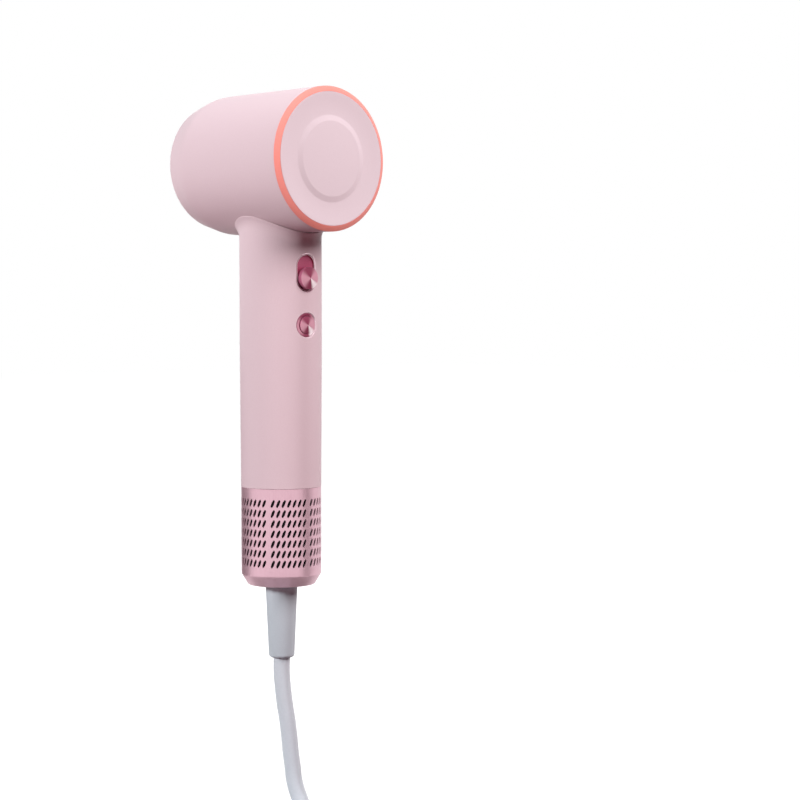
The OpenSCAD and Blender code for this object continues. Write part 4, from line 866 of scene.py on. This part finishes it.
# Studio: a white floor and backdrop that keep a faint shadow, and five soft lamps.
# The floor glows white to the camera and to mirror rays, so the picture's ground is white without more light.
# The key stands low at the camera's left, a warm lamp higher at its right; the others are weaker fills.
floor_z, floor_half, white_from, white_at = -0.2568, 6, 0.2, 0.6
scene = bpy.context.scene
scene.view_settings.view_transform = "Standard"
ground = bpy.data.meshes.new("floor")
shape = bmesh.new()
bmesh.ops.create_grid(
    shape, x_segments=1, y_segments=1, size=floor_half, matrix=Matrix.Translation((0, 0, floor_z)),
)
shape.to_mesh(ground)
shape.free()
floor = bpy.data.objects.new("floor", ground)
scene.collection.objects.link(floor)


def seen_directly(tree):
    """The light path of a node tree, and a value of 1 for camera, mirror and transmission rays."""
    path = add(tree, "LightPath", {})
    rays = [path.outputs["Is %s Ray" % kind] for kind in ("Camera", "Glossy", "Transmission")]
    seen = add(tree, "Math", {0: rays[0], 1: rays[1]}, operation="ADD")
    return path, add(tree, "Math", {0: seen.outputs[0], 1: rays[2]}, operation="ADD").outputs[0]


paper, tree, surface = material("white_floor_paper", {"Roughness": 0.9})
path, seen = seen_directly(tree)
# To bounced light the floor is dark rose, not white: a rose fill that deepens and reddens the dryer's shade.
rose_fill_bounce = add(
    tree, "Mix", {0: path.outputs["Is Diffuse Ray"], 6: linear("#E4E4E4"), 7: linear("#5E3038")},
    data_type="RGBA",
)
tree.links.new(rose_fill_bounce.outputs[2], surface.inputs["Base Color"])
place = add(tree, "TexCoord", {})
from_dryer = add(
    tree, "VectorMath", {0: place.outputs["Object"], 1: (0.04, 0.02, floor_z)}, operation="DISTANCE",
)
white = add(
    tree, "MapRange",
    {
        "Value": from_dryer.outputs["Value"], "From Min": white_from, "From Max": white_at,
        "To Min": 0.45, "To Max": 0.7,
    },
    interpolation_type="SMOOTHSTEP",
)
share = add(tree, "Math", {0: seen, 1: white.outputs[0]}, operation="MULTIPLY")
glow = add(tree, "Emission", {"Color": (1, 1, 1, 1), "Strength": 1.4})
joined = add(tree, "MixShader", {0: share.outputs[0], 1: surface.outputs[0], 2: glow.outputs[0]})
tree.links.new(joined.outputs[0], tree.nodes["Material Output"].inputs["Surface"])
ground.materials.append(paper)

world = bpy.data.worlds.new("studio")
scene.world = world
world.use_nodes = True
tree = world.node_tree
path, seen = seen_directly(tree)
strength = add(tree, "MapRange", {"Value": seen, "To Min": 0.01, "To Max": 1})
tree.links.new(strength.outputs[0], tree.nodes["Background"].inputs["Strength"])
tree.nodes["Background"].inputs["Color"].default_value = (1, 1, 1, 1)

lamp_distance, lamp_aim = 1.2, Vector((0, 0, 0.02))


def lamp(name, azimuth, elevation, size, watts, tint):
    """Square soft lamp aimed at the middle of the dryer; azimuth and elevation in degrees, size in metres."""
    light = bpy.data.lights.new(name, "AREA")
    light.energy = watts
    light.color = tint
    light.size = size
    made = bpy.data.objects.new(name, light)
    a, e = radians(azimuth), radians(elevation)
    away = Vector((sin(a) * cos(e), -cos(a) * cos(e), sin(e)))
    made.location = away * lamp_distance + lamp_aim
    made.rotation_euler = away.to_track_quat("Z", "Y").to_euler()
    made.visible_glossy = False
    scene.collection.objects.link(made)


warm, neutral, cool = (1, 0.92, 0.92), (1, 1, 1), (0.89, 1, 1)
lamp("key", 84, 15, 0.2, 12.8, neutral)
lamp("left_back", 40, 6, 0.7, 2, neutral)
lamp("right", 191, 39, 0.7, 17.2, warm)
lamp("rear_top", 210, 65, 0.7, 4.4, cool)
lamp("front_fill", 318, 18, 0.7, 9, neutral)

# Flags: two black boards and a grey card on the floor, close to the lower end, that only mirror rays see.
# They give the satin metal of the inlet cover its darker stripes and its dark chamfer, and cast no shadow.
unlit = {"Base Color": linear("#040404"), "Roughness": 1, "IOR": 1}
black_cloth = material("black_flag_cloth", unlit)[0]
grey_card = material("grey_card", unlit | {"Emission Color": (1, 1, 1, 1), "Emission Strength": 0.38})[0]
upright, lying = Matrix.Rotation(pi / 2, 4, "X"), Matrix.Identity(4)
for name, finish, azimuth, distance, height, width, tall, lean in (
    ("flag_left", black_cloth, 12, 0.32, -0.13, 0.34, 0.24, upright),
    ("flag_right", black_cloth, 218, 0.32, -0.13, 0.14, 0.24, upright),
    ("flag_low", grey_card, 140, 0.11, -0.2566, 0.45, 0.45, lying),
):
    a = radians(azimuth)
    board = bpy.data.meshes.new(name)
    shape = bmesh.new()
    bmesh.ops.create_grid(
        shape, x_segments=1, y_segments=1, size=0.5,
        matrix=Matrix.Translation((distance * sin(a), -distance * cos(a), height))
        @ Matrix.Rotation(a, 4, "Z") @ lean @ Matrix.Diagonal((width, tall, 1, 1)),
    )
    shape.to_mesh(board)
    shape.free()
    board.materials.append(finish)
    flag = bpy.data.objects.new(name, board)
    flag.visible_camera = flag.visible_diffuse = flag.visible_shadow = flag.visible_transmission = False
    scene.collection.objects.link(flag)

# Camera: a long lens a metre away, level with the controls, at the photograph's angle.
# It looks down by about 3 degrees, so that the dryer has the same place and size in the frame.
look_down, look_round = 2.78, 136.57
lens = bpy.data.cameras.new("camera")
lens.sensor_width = 36
lens.lens = 89.4
camera = bpy.data.objects.new("camera", lens)
camera.location = (0.6370, 0.7592, 0.0288)
camera.rotation_euler = (radians(90 - look_down), 0, radians(look_round))
scene.collection.objects.link(camera)
scene.camera = camera
